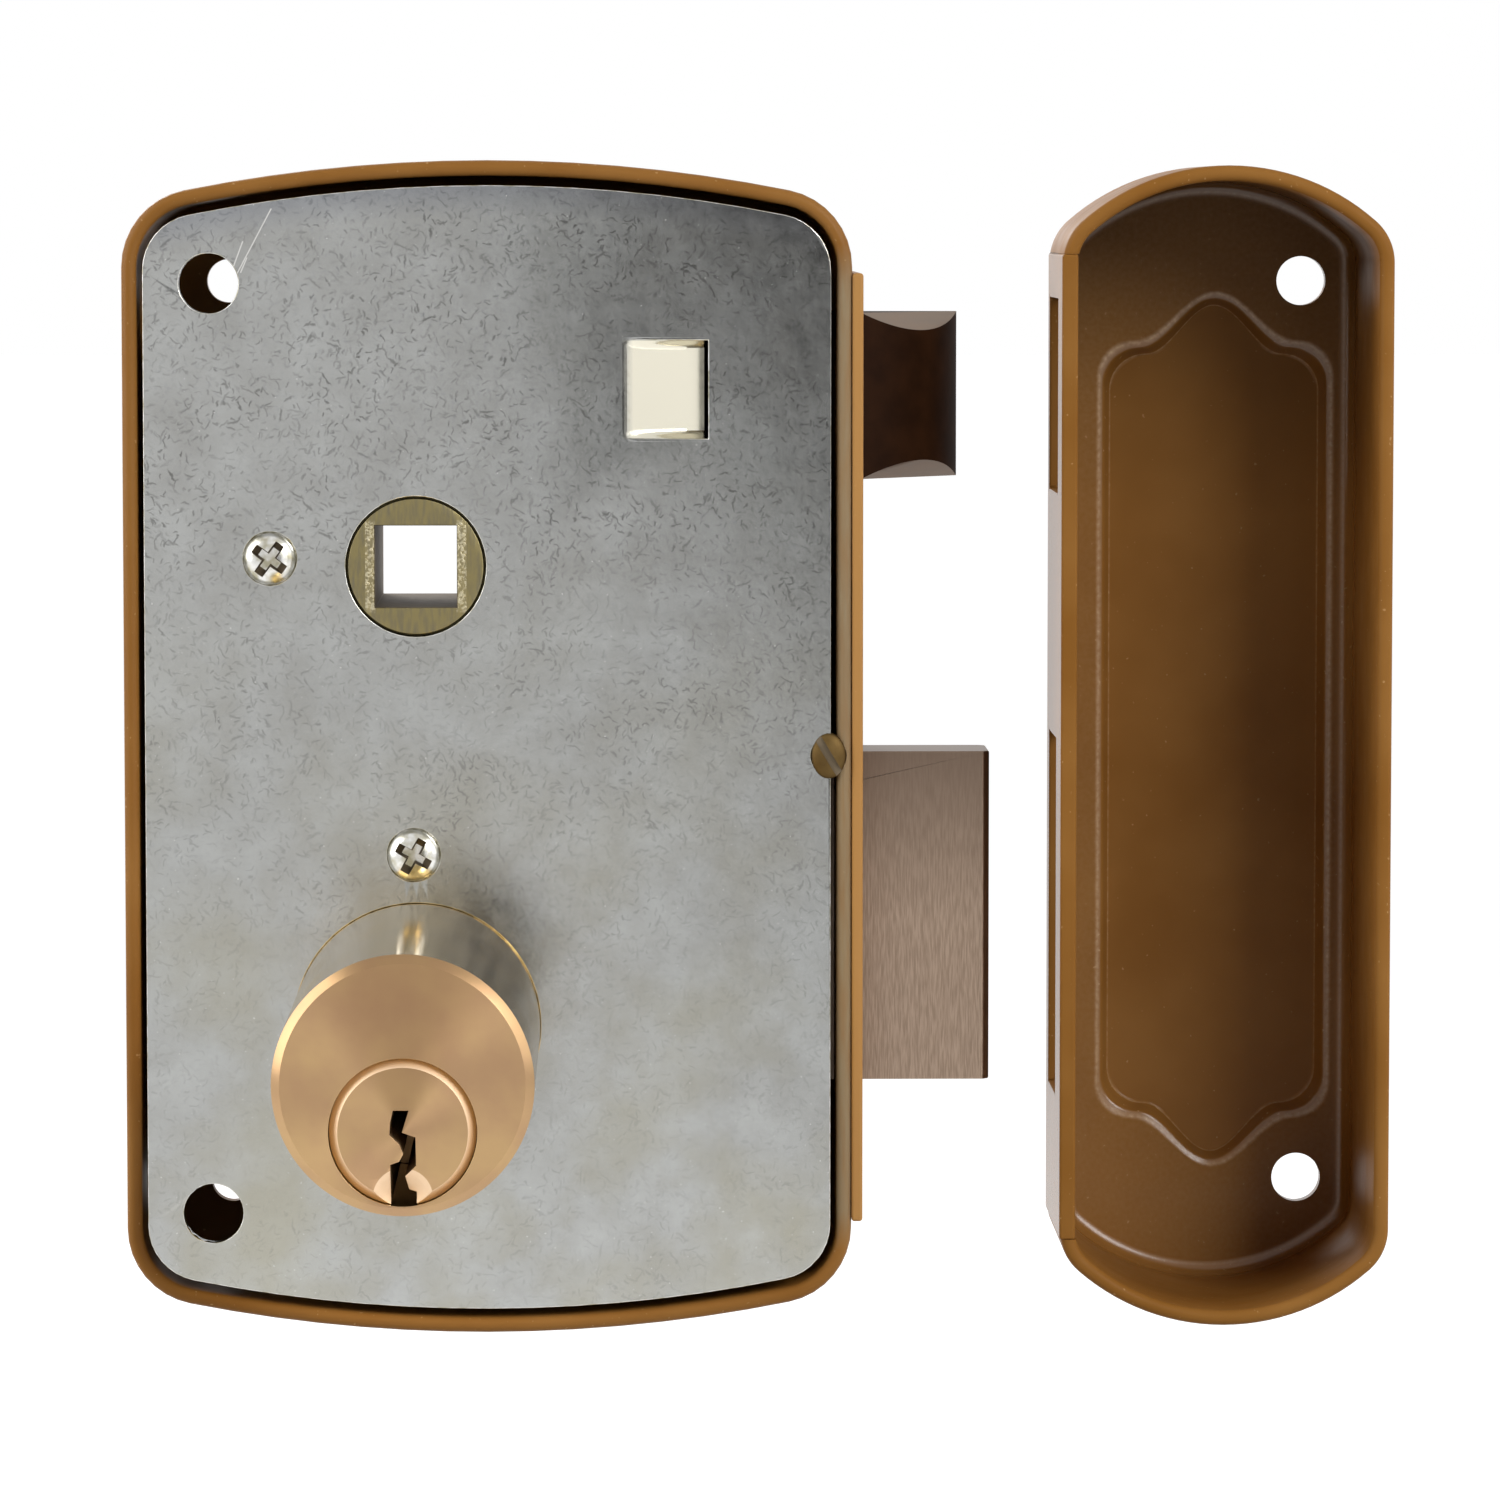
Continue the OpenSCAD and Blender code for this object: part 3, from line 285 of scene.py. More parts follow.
def brown_stoved_enamel(add, place):
    # Satin brown paint over drawn sheet, a little uneven, with dust specks. The case wall's edge beside
    # the forend is rubbed down to a dull olive.
    c, s = colours(), sizes()
    cloud = mottle(add, place, 18, 0.35, 0.65)
    base = add("Mix", {0: cloud, 6: c.enamel, 7: c.enamel_dark}, **COLOUR_MIX)
    speck = mottle(add, place, 0.5, 0.72, 0.78, detail=1.0)
    base = add("Mix", {0: speck, 6: base, 7: c.enamel_speck}, **COLOUR_MIX)
    across = add("SeparateXYZ", {0: place})
    up = add("Math", {0: across.node.outputs["Z"]}, operation="ABSOLUTE")
    rubbed = add("MapRange", {0: across, 1: s.rubbed_from / MM, 2: s.rubbed_from / MM + 0.2})
    inside = add("MapRange", {0: across, 1: s.rubbed_to / MM, 2: s.rubbed_to / MM - 0.2})
    ends = add("MapRange", {0: up, 1: s.rubbed_half / MM, 2: s.rubbed_half / MM - 4})
    front = add("MapRange", {0: across.node.outputs["Y"], 1: 1.4})
    for mask in (inside, ends, front):
        rubbed = add("Math", {0: rubbed, 1: mask}, operation="MULTIPLY")
    streak = add("VectorMath", {0: place, 1: (1.0, 1.0, 0.12)}, operation="MULTIPLY")
    streak = mottle(add, streak, 0.7, 0.3, 0.7, 0.55, 0.95)
    rubbed = add("Math", {0: rubbed, 1: streak}, operation="MULTIPLY")
    base = add("Mix", {0: rubbed, 6: base, 7: c.enamel_rubbed}, **COLOUR_MIX)
    rough = mottle(add, place, 5, 0.3, 0.7, 0.34, 0.46)
    peel = add("TexNoise", {"Vector": place, "Scale": 1 / 0.9, "Detail": 2.0})
    peel = add("Bump", {"Height": peel, "Distance": 0.012 * MM})
    return {"Base Color": base, "Roughness": rough, "Specular IOR Level": 0.12, "Normal": peel}


def tan_stoved_enamel(add, place):
    # The same paint made lighter as painted light: the forend plate.
    look = brown_stoved_enamel(add, place)
    base = {0: 0.85, 6: look["Base Color"], 7: colours().enamel_tan}
    look["Base Color"] = add("Mix", base, **COLOUR_MIX)
    return look


def glossy_brown_enamel(add, place):
    # The same paint with a full gloss, which shows pale at a flat angle: the strike plate's outer face.
    look = brown_stoved_enamel(add, place)
    look["Roughness"] = 0.26
    look["Specular IOR Level"] = 0.3
    return look


def glossy_keeper_enamel(add, place):
    # The same paint inside the keeper: darkened by painted shade, most of all high up, glossy on the floor,
    # and lightened by painted highlights on the bends of the panel.
    c, s = colours(), sizes()
    look = brown_stoved_enamel(add, place)
    base = look["Base Color"]
    depth = add("SeparateXYZ", {0: place}, "Y")
    height = depth.node.outputs["Z"]
    floor = (s.keeper_depth - s.keeper_sheet) / MM
    panel = floor + s.panel_press / MM
    inside = add("MapRange", {0: depth, 1: 2.0, 2: 9.0})
    # Painted shade: darker deep inside the keeper and towards its top
    thick = add("MapRange", {0: height, 1: 22.0, 2: 55.0, 3: 0.2, 4: 0.72})
    thick = add("Math", {0: thick, 1: inside}, operation="MULTIPLY")
    base = add("Mix", {0: thick, 6: base, 7: c.enamel_deep}, **COLOUR_MIX)
    streak = mottle(add, place, 0.5, 0.35, 0.65, 0.4, 1.0)
    # Painted highlights: light lines along the wall's fold and the panel's bends
    bends = ((floor - 0.12, 0.1, 0.12), (floor + 0.1, 0.12, 0.4), (panel - 0.12, 0.12, 0.4))
    for bend, reach, share in bends:
        off = add("Math", {0: depth, 1: bend}, operation="SUBTRACT")
        off = add("Math", {0: off}, operation="ABSOLUTE")
        thin = add("MapRange", {0: off, 1: reach, 2: 0.0, 4: share})
        thin = add("Math", {0: thin, 1: streak}, operation="MULTIPLY")
        base = add("Mix", {0: thin, 6: base, 7: c.enamel_thin}, **COLOUR_MIX)
    gloss = add("MapRange", {0: depth, 1: floor - 3.0, 2: floor - 1.0})
    fold = add("MapRange", {0: depth, 1: floor - 0.02, 2: floor - 0.1})
    shoulder = add("MapRange", {0: depth, 1: floor + 0.02, 2: floor + 0.08})
    sunk = add("MapRange", {0: depth, 1: panel, 2: panel - 0.2})
    shoulder = add("Math", {0: shoulder, 1: sunk}, operation="MULTIPLY")
    fold = add("Math", {0: fold, 1: shoulder}, operation="MAXIMUM")
    shine = add("MapRange", {0: fold, 3: 0.12, 4: 0.4})
    look["Base Color"] = base
    look["Roughness"] = add("MapRange", {0: gloss, 3: look["Roughness"], 4: 0.24})
    look["Specular IOR Level"] = add("MapRange", {0: gloss, 3: 0.05, 4: shine})
    return look


def hair_marks(add, flat, cell, reach, width, share):
    """Short bent hairlines in all directions: one in that share of the cells that divide the surface."""
    spot = add("TexVoronoi", {"Vector": flat, "Scale": 1 / cell}, "Position", voronoi_dimensions="2D")
    dice = add("SeparateColor", {0: spot.node.outputs["Color"]})
    turn = add("Math", {0: dice, 1: math.tau}, operation="MULTIPLY")
    local = add("VectorMath", {0: flat, 1: spot}, operation="SUBTRACT")
    local = add("VectorRotate", {"Vector": local, "Angle": turn}, rotation_type="Z_AXIS")
    along = add("SeparateXYZ", {0: local})
    bend = add("MapRange", {0: dice.node.outputs["Green"], 3: -0.35 / reach, 4: 0.35 / reach})
    bow = add("Math", {0: along, 1: along}, operation="MULTIPLY")
    bow = add("Math", {0: bow, 1: bend, 2: along.node.outputs["Y"]}, operation="MULTIPLY_ADD")
    bow = add("Math", {0: bow}, operation="ABSOLUTE")
    far = add("Math", {0: along}, operation="ABSOLUTE")
    mark = add("MapRange", {0: bow, 1: 0.25 * width, 2: width, 3: 1.0, 4: 0.0})
    ends = add("MapRange", {0: far, 1: 0.5 * reach, 2: reach, 3: 1.0, 4: 0.0})
    some = add("MapRange", {0: dice.node.outputs["Blue"], 1: share, 2: 0.0, 4: 1.4})
    mark = add("Math", {0: mark, 1: ends}, operation="MULTIPLY")
    return add("Math", {0: mark, 1: some}, operation="MULTIPLY")


def scratch(add, flat, start, end, width):
    """One straight scratch between two points of the surface."""
    run = Vector(end) - Vector(start)
    local = add("VectorMath", {0: flat, 1: (*start, 0.0)}, operation="SUBTRACT")
    share = run / run.length_squared
    step = add("VectorMath", {0: local, 1: (*share, 0.0)}, 1, operation="DOT_PRODUCT")
    step = add("MapRange", {0: step})
    foot = add("VectorMath", {0: (*run, 0.0), "Scale": step}, operation="SCALE")
    off = add("VectorMath", {0: local, 1: foot}, 1, operation="DISTANCE")
    return add("MapRange", {0: off, 1: 0.3 * width, 2: width, 3: 1.0, 4: 0.0})


def zinc_plated_steel(add, place):
    # Cloudy zinc with fine hairlines, most of them high up, a yellow bloom low down, painted shade along
    # the top edge and towards the upper right corner, and tiny painted glints. The pressed ramp is smoother
    # than the sheet and painted brighter, a painted highlight.
    c, s = colours(), sizes()
    across = add("SeparateXYZ", {0: place})
    height = across.node.outputs["Z"]
    flat = add("CombineXYZ", {0: across, 1: height})
    high = add("MapRange", {0: height, 1: -30.0, 2: 40.0, 3: 0.25})
    low = add("MapRange", {0: height, 1: 25.0, 2: -45.0, 4: 0.5})
    cloud = mottle(add, place, 7, 0.35, 0.65, detail=5.0, roughness=0.6)
    bloom = mottle(add, place, 14, 0.42, 0.66)
    bloom = add("Math", {0: bloom, 1: low}, operation="MULTIPLY")
    sway = add("TexNoise", {"Vector": place, "Scale": 1 / 0.7, "Detail": 2.0}, "Color")
    sway = add("VectorMath", {0: sway, 1: (0.5, 0.5, 0.5)}, operation="SUBTRACT")
    sway = add("VectorMath", {0: sway, "Scale": 0.8}, operation="SCALE")
    bent = add("VectorMath", {0: flat, 1: sway}, operation="ADD")
    dark = 0.0
    for hairline in HAIRLINES:
        more = hair_marks(add, bent, *hairline)
        dark = add("Math", {0: dark, 1: more}, operation="MAXIMUM")
    patch = mottle(add, place, 9, 0.35, 0.62, 0.22, 0.62, detail=2.0)
    for mask in (patch, high):
        dark = add("Math", {0: dark, 1: mask}, operation="MULTIPLY")
    # Painted shade: darker along the plate's arched top edge
    arch = add("VectorMath", {0: flat, 1: (0.0, s.plate_arch_z / MM, 0.0)}, 1, operation="DISTANCE")
    edge = add("MapRange", {0: arch, 1: s.plate_arch / MM - 3.2, 2: s.plate_arch / MM - 0.4, 4: 0.55})
    # Painted shade: darker towards the plate's upper right corner
    corner = add("VectorMath", {0: flat, 1: SHADED_CORNER}, 1, operation="DISTANCE")
    corner = add("MapRange", {0: corner, 1: 42.0, 2: 6.0, 4: 0.5}, interpolation_type="SMOOTHSTEP")
    fleck = mottle(add, place, 0.6, 0.54, 0.72, last=0.3, detail=4.0, roughness=0.7)
    fleck = add("Math", {0: fleck, 1: high}, operation="MULTIPLY")
    # Painted glints: tiny bright sparks; the scratches added below are real
    light = mottle(add, place, 0.3, 0.73, 0.78, last=0.7, detail=1.0)
    for start, end in SCRATCHES:
        more = scratch(add, flat, start, end, SCRATCH_WIDTH)
        light = add("Math", {0: light, 1: more}, operation="MAXIMUM")
    left, right = s.ramp_left / MM, (s.ramp_left + s.ramp_width) / MM
    half = s.ramp_height / MM / 2
    # The pressed ramp, smoother and painted brighter as a painted highlight
    pressed = add("MapRange", {0: across, 1: left - 0.4, 2: left + 0.8})
    ahead = add("MapRange", {0: across, 1: right, 2: right - 0.2})
    off = add("Math", {0: height, 1: s.ramp_middle / MM}, operation="SUBTRACT")
    off = add("Math", {0: off}, operation="ABSOLUTE")
    sides = add("MapRange", {0: off, 1: half + 0.1, 2: half - 0.1})
    for mask in (ahead, sides):
        pressed = add("Math", {0: pressed, 1: mask}, operation="MULTIPLY")
    base = c.zinc
    for share, colour in (
        (cloud, c.zinc_dull),
        (bloom, c.zinc_yellow),
        (dark, c.zinc_mark),
        (edge, c.zinc_edge),
        (corner, c.zinc_mark),
        (fleck, c.zinc_edge),
        (light, c.zinc_bright),
        (pressed, c.zinc_pressed),
    ):
        base = add("Mix", {0: share, 6: base, 7: colour}, **COLOUR_MIX)
    rough = mottle(add, place, 2.5, 0.3, 0.7, 0.15, 0.23, detail=4.0)
    rough = add("MapRange", {0: pressed, 3: rough, 4: 0.2})
    grit = add("TexNoise", {"Vector": place, "Scale": 1 / 1.1, "Detail": 4.0})
    grit = add("Bump", {"Height": grit, "Distance": 0.006 * MM})
    return {"Base Color": base, "Metallic": 1.0, "Roughness": rough, "Normal": grit}


def bright_zinc_steel(add, place):
    # Clean bright zinc with a trace of yellow: the glint of new screw heads.
    c = colours()
    cloud = mottle(add, place, 1.2, 0.4, 0.65, detail=2.0)
    base = add("Mix", {0: cloud, 6: c.zinc_bright, 7: c.zinc_yellow}, **COLOUR_MIX)
    return {"Base Color": base, "Metallic": 1.0, "Roughness": 0.24}


def satin_turned_brass(add, place):
    # Satin brass brushed round its axis: light fans out over the cylinder's face, and a painted shade
    # darkens it above the plug.
    c = colours()
    cloud = mottle(add, place, 6, 0.35, 0.65, last=0.25)
    base = add("Mix", {0: cloud, 6: c.brass, 7: c.brass_side}, **COLOUR_MIX)
    low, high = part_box("cylinder_plug")
    middle = (low + high) / 2 / MM
    local = add("VectorMath", {0: place, 1: (middle.x, 0.0, middle.z)}, operation="SUBTRACT")
    local = add("VectorMath", {0: local, 1: (1.0, 0.0, 1.0)}, operation="MULTIPLY")
    local = add("VectorMath", {0: local}, operation="NORMALIZE")
    # Painted shade: a wedge above the plug is mixed towards the darker brass
    shade_wedge = add("SeparateXYZ", {0: local}, "Z")
    shade_wedge = add("MapRange", {0: shade_wedge, 1: 0.75, 4: 0.35}, interpolation_type="SMOOTHSTEP")
    base = add("Mix", {0: shade_wedge, 6: base, 7: c.brass_shade}, **COLOUR_MIX)
    brushed = add("Tangent", {}, direction_type="RADIAL", axis="Y")
    grit = add("TexNoise", {"Vector": place, "Scale": 1 / 0.35, "Detail": 2.0})
    grit = add("Bump", {"Height": grit, "Distance": 0.006 * MM})
    return {
        "Base Color": base,
        "Metallic": 1.0,
        "Roughness": 0.36,
        "Anisotropic": 0.7,
        "Anisotropic Rotation": 0.25,
        "Tangent": brushed,
        "Normal": grit,
    }


def matt_brass(add, place):
    # Brass left matt by the cutter and painted lighter as a painted highlight: the plug's chamfer and the
    # countersink at the keyway's foot.
    rough = mottle(add, place, 0.4, first=0.5, last=0.62, detail=2.0)
    return {"Base Color": colours().brass_cut, "Metallic": 1.0, "Roughness": rough}


def polished_brass(add, place):
    # Smooth yellow brass: the barrel's side mirrors what stands beside it.
    lines = add("VectorMath", {0: place, 1: (1.0, 0.25, 1.0)}, operation="MULTIPLY")
    rough = mottle(add, lines, 3, 0.3, 0.7, 0.1, 0.16)
    return {"Base Color": colours().brass_side, "Metallic": 1.0, "Roughness": rough}


def aged_brass(add, place):
    # Brass that has browned: the seam screw.
    c = colours()
    cloud = add("TexNoise", {"Vector": place, "Scale": 1 / 1.5, "Detail": 3.0})
    base = add("Mix", {0: cloud, 6: c.brass_aged, 7: c.brass_worn}, **COLOUR_MIX)
    return {"Base Color": base, "Metallic": 1.0, "Roughness": 0.55}


def yellow_passivated_steel(add, place):
    # Yellow passivated steel with upright tool lines and a bright raised burr on both sides of the square.
    c, s = colours(), sizes()
    lines = add("VectorMath", {0: place, 1: (1.0, 1.0, 0.2)}, operation="MULTIPLY")
    lines = add("TexNoise", {"Vector": lines, "Scale": 1 / 0.35, "Detail": 3.0})
    dull = add("MapRange", {0: lines, 1: 0.4, 2: 0.75, 4: 0.5})
    base = add("Mix", {0: dull, 6: c.yellow, 7: c.zinc_mark}, **COLOUR_MIX)
    low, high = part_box("spindle_hub")
    middle = (low + high) / 2 / MM
    local = add("VectorMath", {0: place, 1: tuple(middle)}, operation="SUBTRACT")
    across = add("SeparateXYZ", {0: local})
    side = add("Math", {0: across}, operation="ABSOLUTE")
    half = s.spindle_square / MM / 2
    burr = add("Math", {0: side, 1: half + 0.45, 2: 0.5}, operation="COMPARE")
    end = add("Math", {0: across.node.outputs["Z"]}, operation="ABSOLUTE")
    end = add("MapRange", {0: end, 1: half + 0.6, 2: half + 0.2})
    burr = add("Math", {0: burr, 1: end}, operation="MULTIPLY")
    spots = mottle(add, place, 0.28, 0.45, 0.62, 0.1, 0.65, detail=2.0)
    burr = add("Math", {0: burr, 1: spots}, operation="MULTIPLY")
    base = add("Mix", {0: burr, 6: base, 7: c.burr}, **COLOUR_MIX)
    relief = add("Math", {0: burr, 1: lines}, operation="ADD")
    relief = add("Bump", {"Height": relief, "Distance": 0.04 * MM})
    return {"Base Color": base, "Metallic": 1.0, "Roughness": 0.42, "Normal": relief}


def dull_bored_steel(add, place):
    # Metal left rough by the tool and painted dark as a painted shade in these hollows: the walls of the
    # spindle's square, of the cross recesses and of the seam screw's slot.
    rough = mottle(add, place, 0.6, first=0.5, last=0.7)
    return {"Base Color": colours().bore, "Metallic": 1.0, "Roughness": rough}


def browned_steel(add, place):
    # Nearly black brown finish with little sheen: the latch's striking face.
    c = colours()
    cloud = mottle(add, place, 3, 0.35, 0.65)
    base = add("Mix", {0: cloud, 6: c.latch_dark, 7: c.latch_deep}, **COLOUR_MIX)
    return {"Base Color": base, "Roughness": 0.6, "Specular IOR Level": 0.05}


def ground_steel(add, place):
    # Ground steel, matt grey with level grinding lines: the latch's end bevels.
    c = colours()
    lines = add("VectorMath", {0: place, 1: (0.25, 0.25, 1.0)}, operation="MULTIPLY")
    lines = add("TexNoise", {"Vector": lines, "Scale": 1 / 0.8, "Detail": 3.0})
    base = add("Mix", {0: lines, 6: c.latch_ground, 7: c.bolt_dark}, **COLOUR_MIX)
    return {"Base Color": base, "Metallic": 1.0, "Roughness": 0.45}


def drawn_bolt_steel(add, place):
    # Drawn steel with upright grain, brownish, with a painted shade darker towards its top: the deadbolt's
    # bar.
    c = colours()
    grain = add("VectorMath", {0: place, 1: (1.0, 1.0, 0.08)}, operation="MULTIPLY")
    grain = add("TexNoise", {"Vector": grain, "Scale": 1 / 0.16, "Detail": 2.0})
    lines = add("MapRange", {0: grain, 1: 0.35, 2: 0.65})
    base = add("Mix", {0: lines, 6: c.bolt, 7: c.bolt_dark}, **COLOUR_MIX)
    low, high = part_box("deadbolt_head")
    # Painted shade: darker from the bolt's middle to its top
    height = add("SeparateXYZ", {0: place}, "Z")
    dull = add("MapRange", {0: height, 1: (low.z + high.z) / 2 / MM, 2: high.z / MM, 4: 0.9})
    base = add("Mix", {0: dull, 6: base, 7: c.bolt_dull}, **COLOUR_MIX)
    relief = add("Bump", {"Height": grain, "Distance": 0.004 * MM})
    return {"Base Color": base, "Metallic": 1.0, "Roughness": 0.4, "Normal": relief}


def plain_steel(add, place):
    # Plain bright-drawn steel: the mechanism inside the case.
    rough = mottle(add, place, 3, 0.3, 0.7, 0.3, 0.45)
    return {"Base Color": colours().steel, "Metallic": 1.0, "Roughness": rough}


def black_card_paper(add, place):
    # Matt black card: it darkens what metal mirrors on that side.
    return {"Base Color": colours().card, "Roughness": 0.9}


def white_studio_floor(add, place):
    # Pale matt floor, white where it is seen or mirrored, which still takes a shadow.
    c = colours()
    glow = add("Math", {0: seen(add), 1: FLOOR_GLOW}, operation="MULTIPLY")
    return {
        "Base Color": c.floor,
        "Roughness": 0.9,
        "Emission Color": c.backdrop,
        "Emission Strength": glow,
    }


def seen(add):
    """1 on camera, glossy and transmission rays, so that all three show the white background."""
    path = add("LightPath", {}, "Is Camera Ray")
    either = add("Math", {0: path, 1: path.node.outputs["Is Glossy Ray"]}, operation="MAXIMUM")
    return add("Math", {0: either, 1: path.node.outputs["Is Transmission Ray"]}, operation="MAXIMUM")


MADE = {}


def finish(maker):
    """The material that a maker describes, made once and named as the maker is.

    A maker gets a function that adds nodes to its tree, and the place on the object in millimetres.
    """
    if maker not in MADE:
        material = bpy.data.materials.new(maker.__name__)
        material.use_nodes = True
        material.node_tree.nodes.clear()
        add = partial(add_node, material.node_tree)
        place = add("TexCoord", {}, "Object")
        place = add("VectorMath", {0: place, "Scale": 1 / MM}, operation="SCALE")
        surface = add("BsdfPrincipled", maker(add, place))
        add("OutputMaterial", {"Surface": surface})
        MADE[maker] = material
    return MADE[maker]


def dress(name, *makers, edge=0.0, pick=None):
    """Gives a CAD node its finish: joined corners, smooth shading, an edge radius and materials."""
    obj = NODES[name]
    mesh = obj.data
    for attribute in ("custom_normal", "sharp_edge", "sharp_face"):
        if attribute in mesh.attributes:
            mesh.attributes.remove(mesh.attributes[attribute])
    mesh.materials.clear()
    for maker in makers:
        mesh.materials.append(finish(maker))
    for face in mesh.polygons:
        face.use_smooth = True
        face.material_index = pick(face) if pick else 0
    obj.modifiers.new("joined_corners", "WELD").merge_threshold = WELD_CAD
    if edge:
        radius = obj.modifiers.new("edge_radius", "BEVEL")
        radius.width = edge
        radius.segments = EDGE_SEGMENTS
        radius.limit_method = "ANGLE"
        radius.angle_limit = math.radians(SHARP)
        if len(makers) > 1 and not pick:
            radius.material = 1
        obj.modifiers.new("flat_faces", "WEIGHTED_NORMAL")
    else:
        obj.modifiers.new("sharp_edges", "EDGE_SPLIT").split_angle = math.radians(SHARP)


def turned(axis, low, high):
    """Picks the second finish for faces whose normal lies between two shares of an axis."""
    return lambda face: 1 if low < abs(getattr(face.normal, axis)) < high else 0


def new_piece(name, points, faces, maker):
    """A mesh object from points and faces, joined where they meet, its faces turned outwards."""
    mesh = bpy.data.meshes.new(name)
    work = bmesh.new()
    added = [work.verts.new(p) for p in points]
    for face in faces:
        work.faces.new([added[i] for i in face])
    bmesh.ops.remove_doubles(work, verts=work.verts, dist=WELD_NEW)
    bmesh.ops.recalc_face_normals(work, faces=work.faces)
    work.to_mesh(mesh)
    work.free()
    mesh.materials.append(finish(maker))
    obj = bpy.data.objects.new(name, mesh)
    bpy.context.scene.collection.objects.link(obj)
    return obj


def smooth(obj, degrees=SHARP):
    """Smooth shading, apart from edges that turn by more than an angle."""
    for face in obj.data.polygons:
        face.use_smooth = True
    obj.data.set_sharp_from_angle(angle=math.radians(degrees))


def mount(obj, body, node):
    """A new piece rides its body and stands for its CAD node, which it hides."""
    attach(obj, body)
    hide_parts(node)


def cut(obj, cutter):
    """Takes one closed piece out of another, and leaves the cutter's finish on the new walls."""
    bpy.context.view_layer.update()
    step = obj.modifiers.new("cut", "BOOLEAN")
    step.operation = "DIFFERENCE"
    step.solver = "EXACT"
    step.material_mode = "TRANSFER"
    step.object = cutter
    ready = obj.evaluated_get(bpy.context.evaluated_depsgraph_get())
    mesh = bpy.data.meshes.new_from_object(ready)
    obj.modifiers.clear()
    old = obj.data
    obj.data = mesh
    bpy.data.meshes.remove(old)
    bpy.data.objects.remove(cutter)


def skin(rings, start=0):
    """Faces that join rings of equal count, one to the next."""
    count = len(rings[0])
    faces = []
    for near in range(start, start + (len(rings) - 1) * count, count):
        for j in range(count):
            k = (j + 1) % count
            faces.append((near + j, near + k, near + count + k, near + count + j))
    return faces


def tube(rings):
    """Points and faces of rings that are joined one to the next and closed at both ends."""
    points = [p for ring in rings for p in ring]
    count = len(rings[0])
    last = len(points) - count
    return points, skin(rings) + [tuple(range(count)), tuple(range(last, last + count))]


def cutting_block(maker, *levels):
    """A closed block about the Y axis, from levels of Y, half length and half width."""
    rings = [[(a * x, y, b * z) for a, b in ((-1, -1), (1, -1), (1, 1), (-1, 1))] for y, x, z in levels]
    return new_piece("cutter", *tube(rings), maker)


def lathe(profile, centre, steps=LATHE_STEPS):
    """Points and faces of a profile of radius and Y, turned about a line along Y and closed at its ends."""
    turns = [math.tau * i / steps for i in range(steps)]
    rings = [
        [(centre[0] + radius * math.cos(t), y, centre[1] + radius * math.sin(t)) for t in turns]
        for radius, y in profile
    ]
    return tube(rings)


def arc(centre, radius, first, last, steps):
    """Points of a circle between two angles in degrees."""
    turns = [math.radians(first + (last - first) * i / steps) for i in range(steps + 1)]
    return [(centre[0] + radius * math.cos(t), centre[1] + radius * math.sin(t)) for t in turns]


def ease(t):
    """A soft step from 0 to 1."""
    t = min(max(t, 0.0), 1.0)
    return t * t * (3 - 2 * t)


def rounded_rise(t, start):
    """A straight rise from 0 to 1 with a round start of that share."""
    return (t * t / (2 * start) if t < start else t - start / 2) / (1 - start / 2)


def slope(t):
    """How far the panel's band has sunk: a gentle shoulder, then a steep fall with soft ends."""
    gentle = rounded_rise(min(t / SHOULDER_WIDTH, 1.0), SHOULDER_ROUND)
    return SHOULDER_DROP * gentle + (1 - SHOULDER_DROP) * ease((t - FALL_START) / FALL_RUN)


def arched_outline(half_w, half_h, arch_r, corner_r):
    """Straight sides, arched ends and rounded corners, counter-clockwise in X and Z."""
    corner_x = half_w - corner_r
    arch_z = half_h - arch_r
    corner_z = arch_z + math.sqrt((arch_r - corner_r) ** 2 - corner_x**2)
    turn = math.degrees(math.atan2(corner_z - arch_z, corner_x))
    half = arc((corner_x, corner_z), corner_r, 0, turn, CORNER_STEPS)
    half += arc((0, arch_z), arch_r, turn, 180 - turn, ARCH_STEPS)[1:-1]
    half += arc((-corner_x, corner_z), corner_r, 180 - turn, 180, CORNER_STEPS)
    return half + [(-x, -z) for x, z in half]


def panel_outline(grow):
    """Straight sides, round shoulders and a soft peak at each end."""
    s = sizes()
    round_x = s.panel_half + grow - s.panel_shoulder
    side = s.panel_side + grow
    quarter = arc((round_x, side), s.panel_shoulder, 0, 90, SHOULDER_STEPS)
    for i in range(1, PEAK_STEPS + 1):
        t = i / PEAK_STEPS
        rise = s.panel_peak * (1 - math.cos(math.pi * t)) / 2
        quarter.append((round_x * (1 - t), side + s.panel_shoulder + rise))
    half = quarter + [(-x, z) for x, z in quarter[-2::-1]]
    return half + [(-x, -z) for x, z in half]


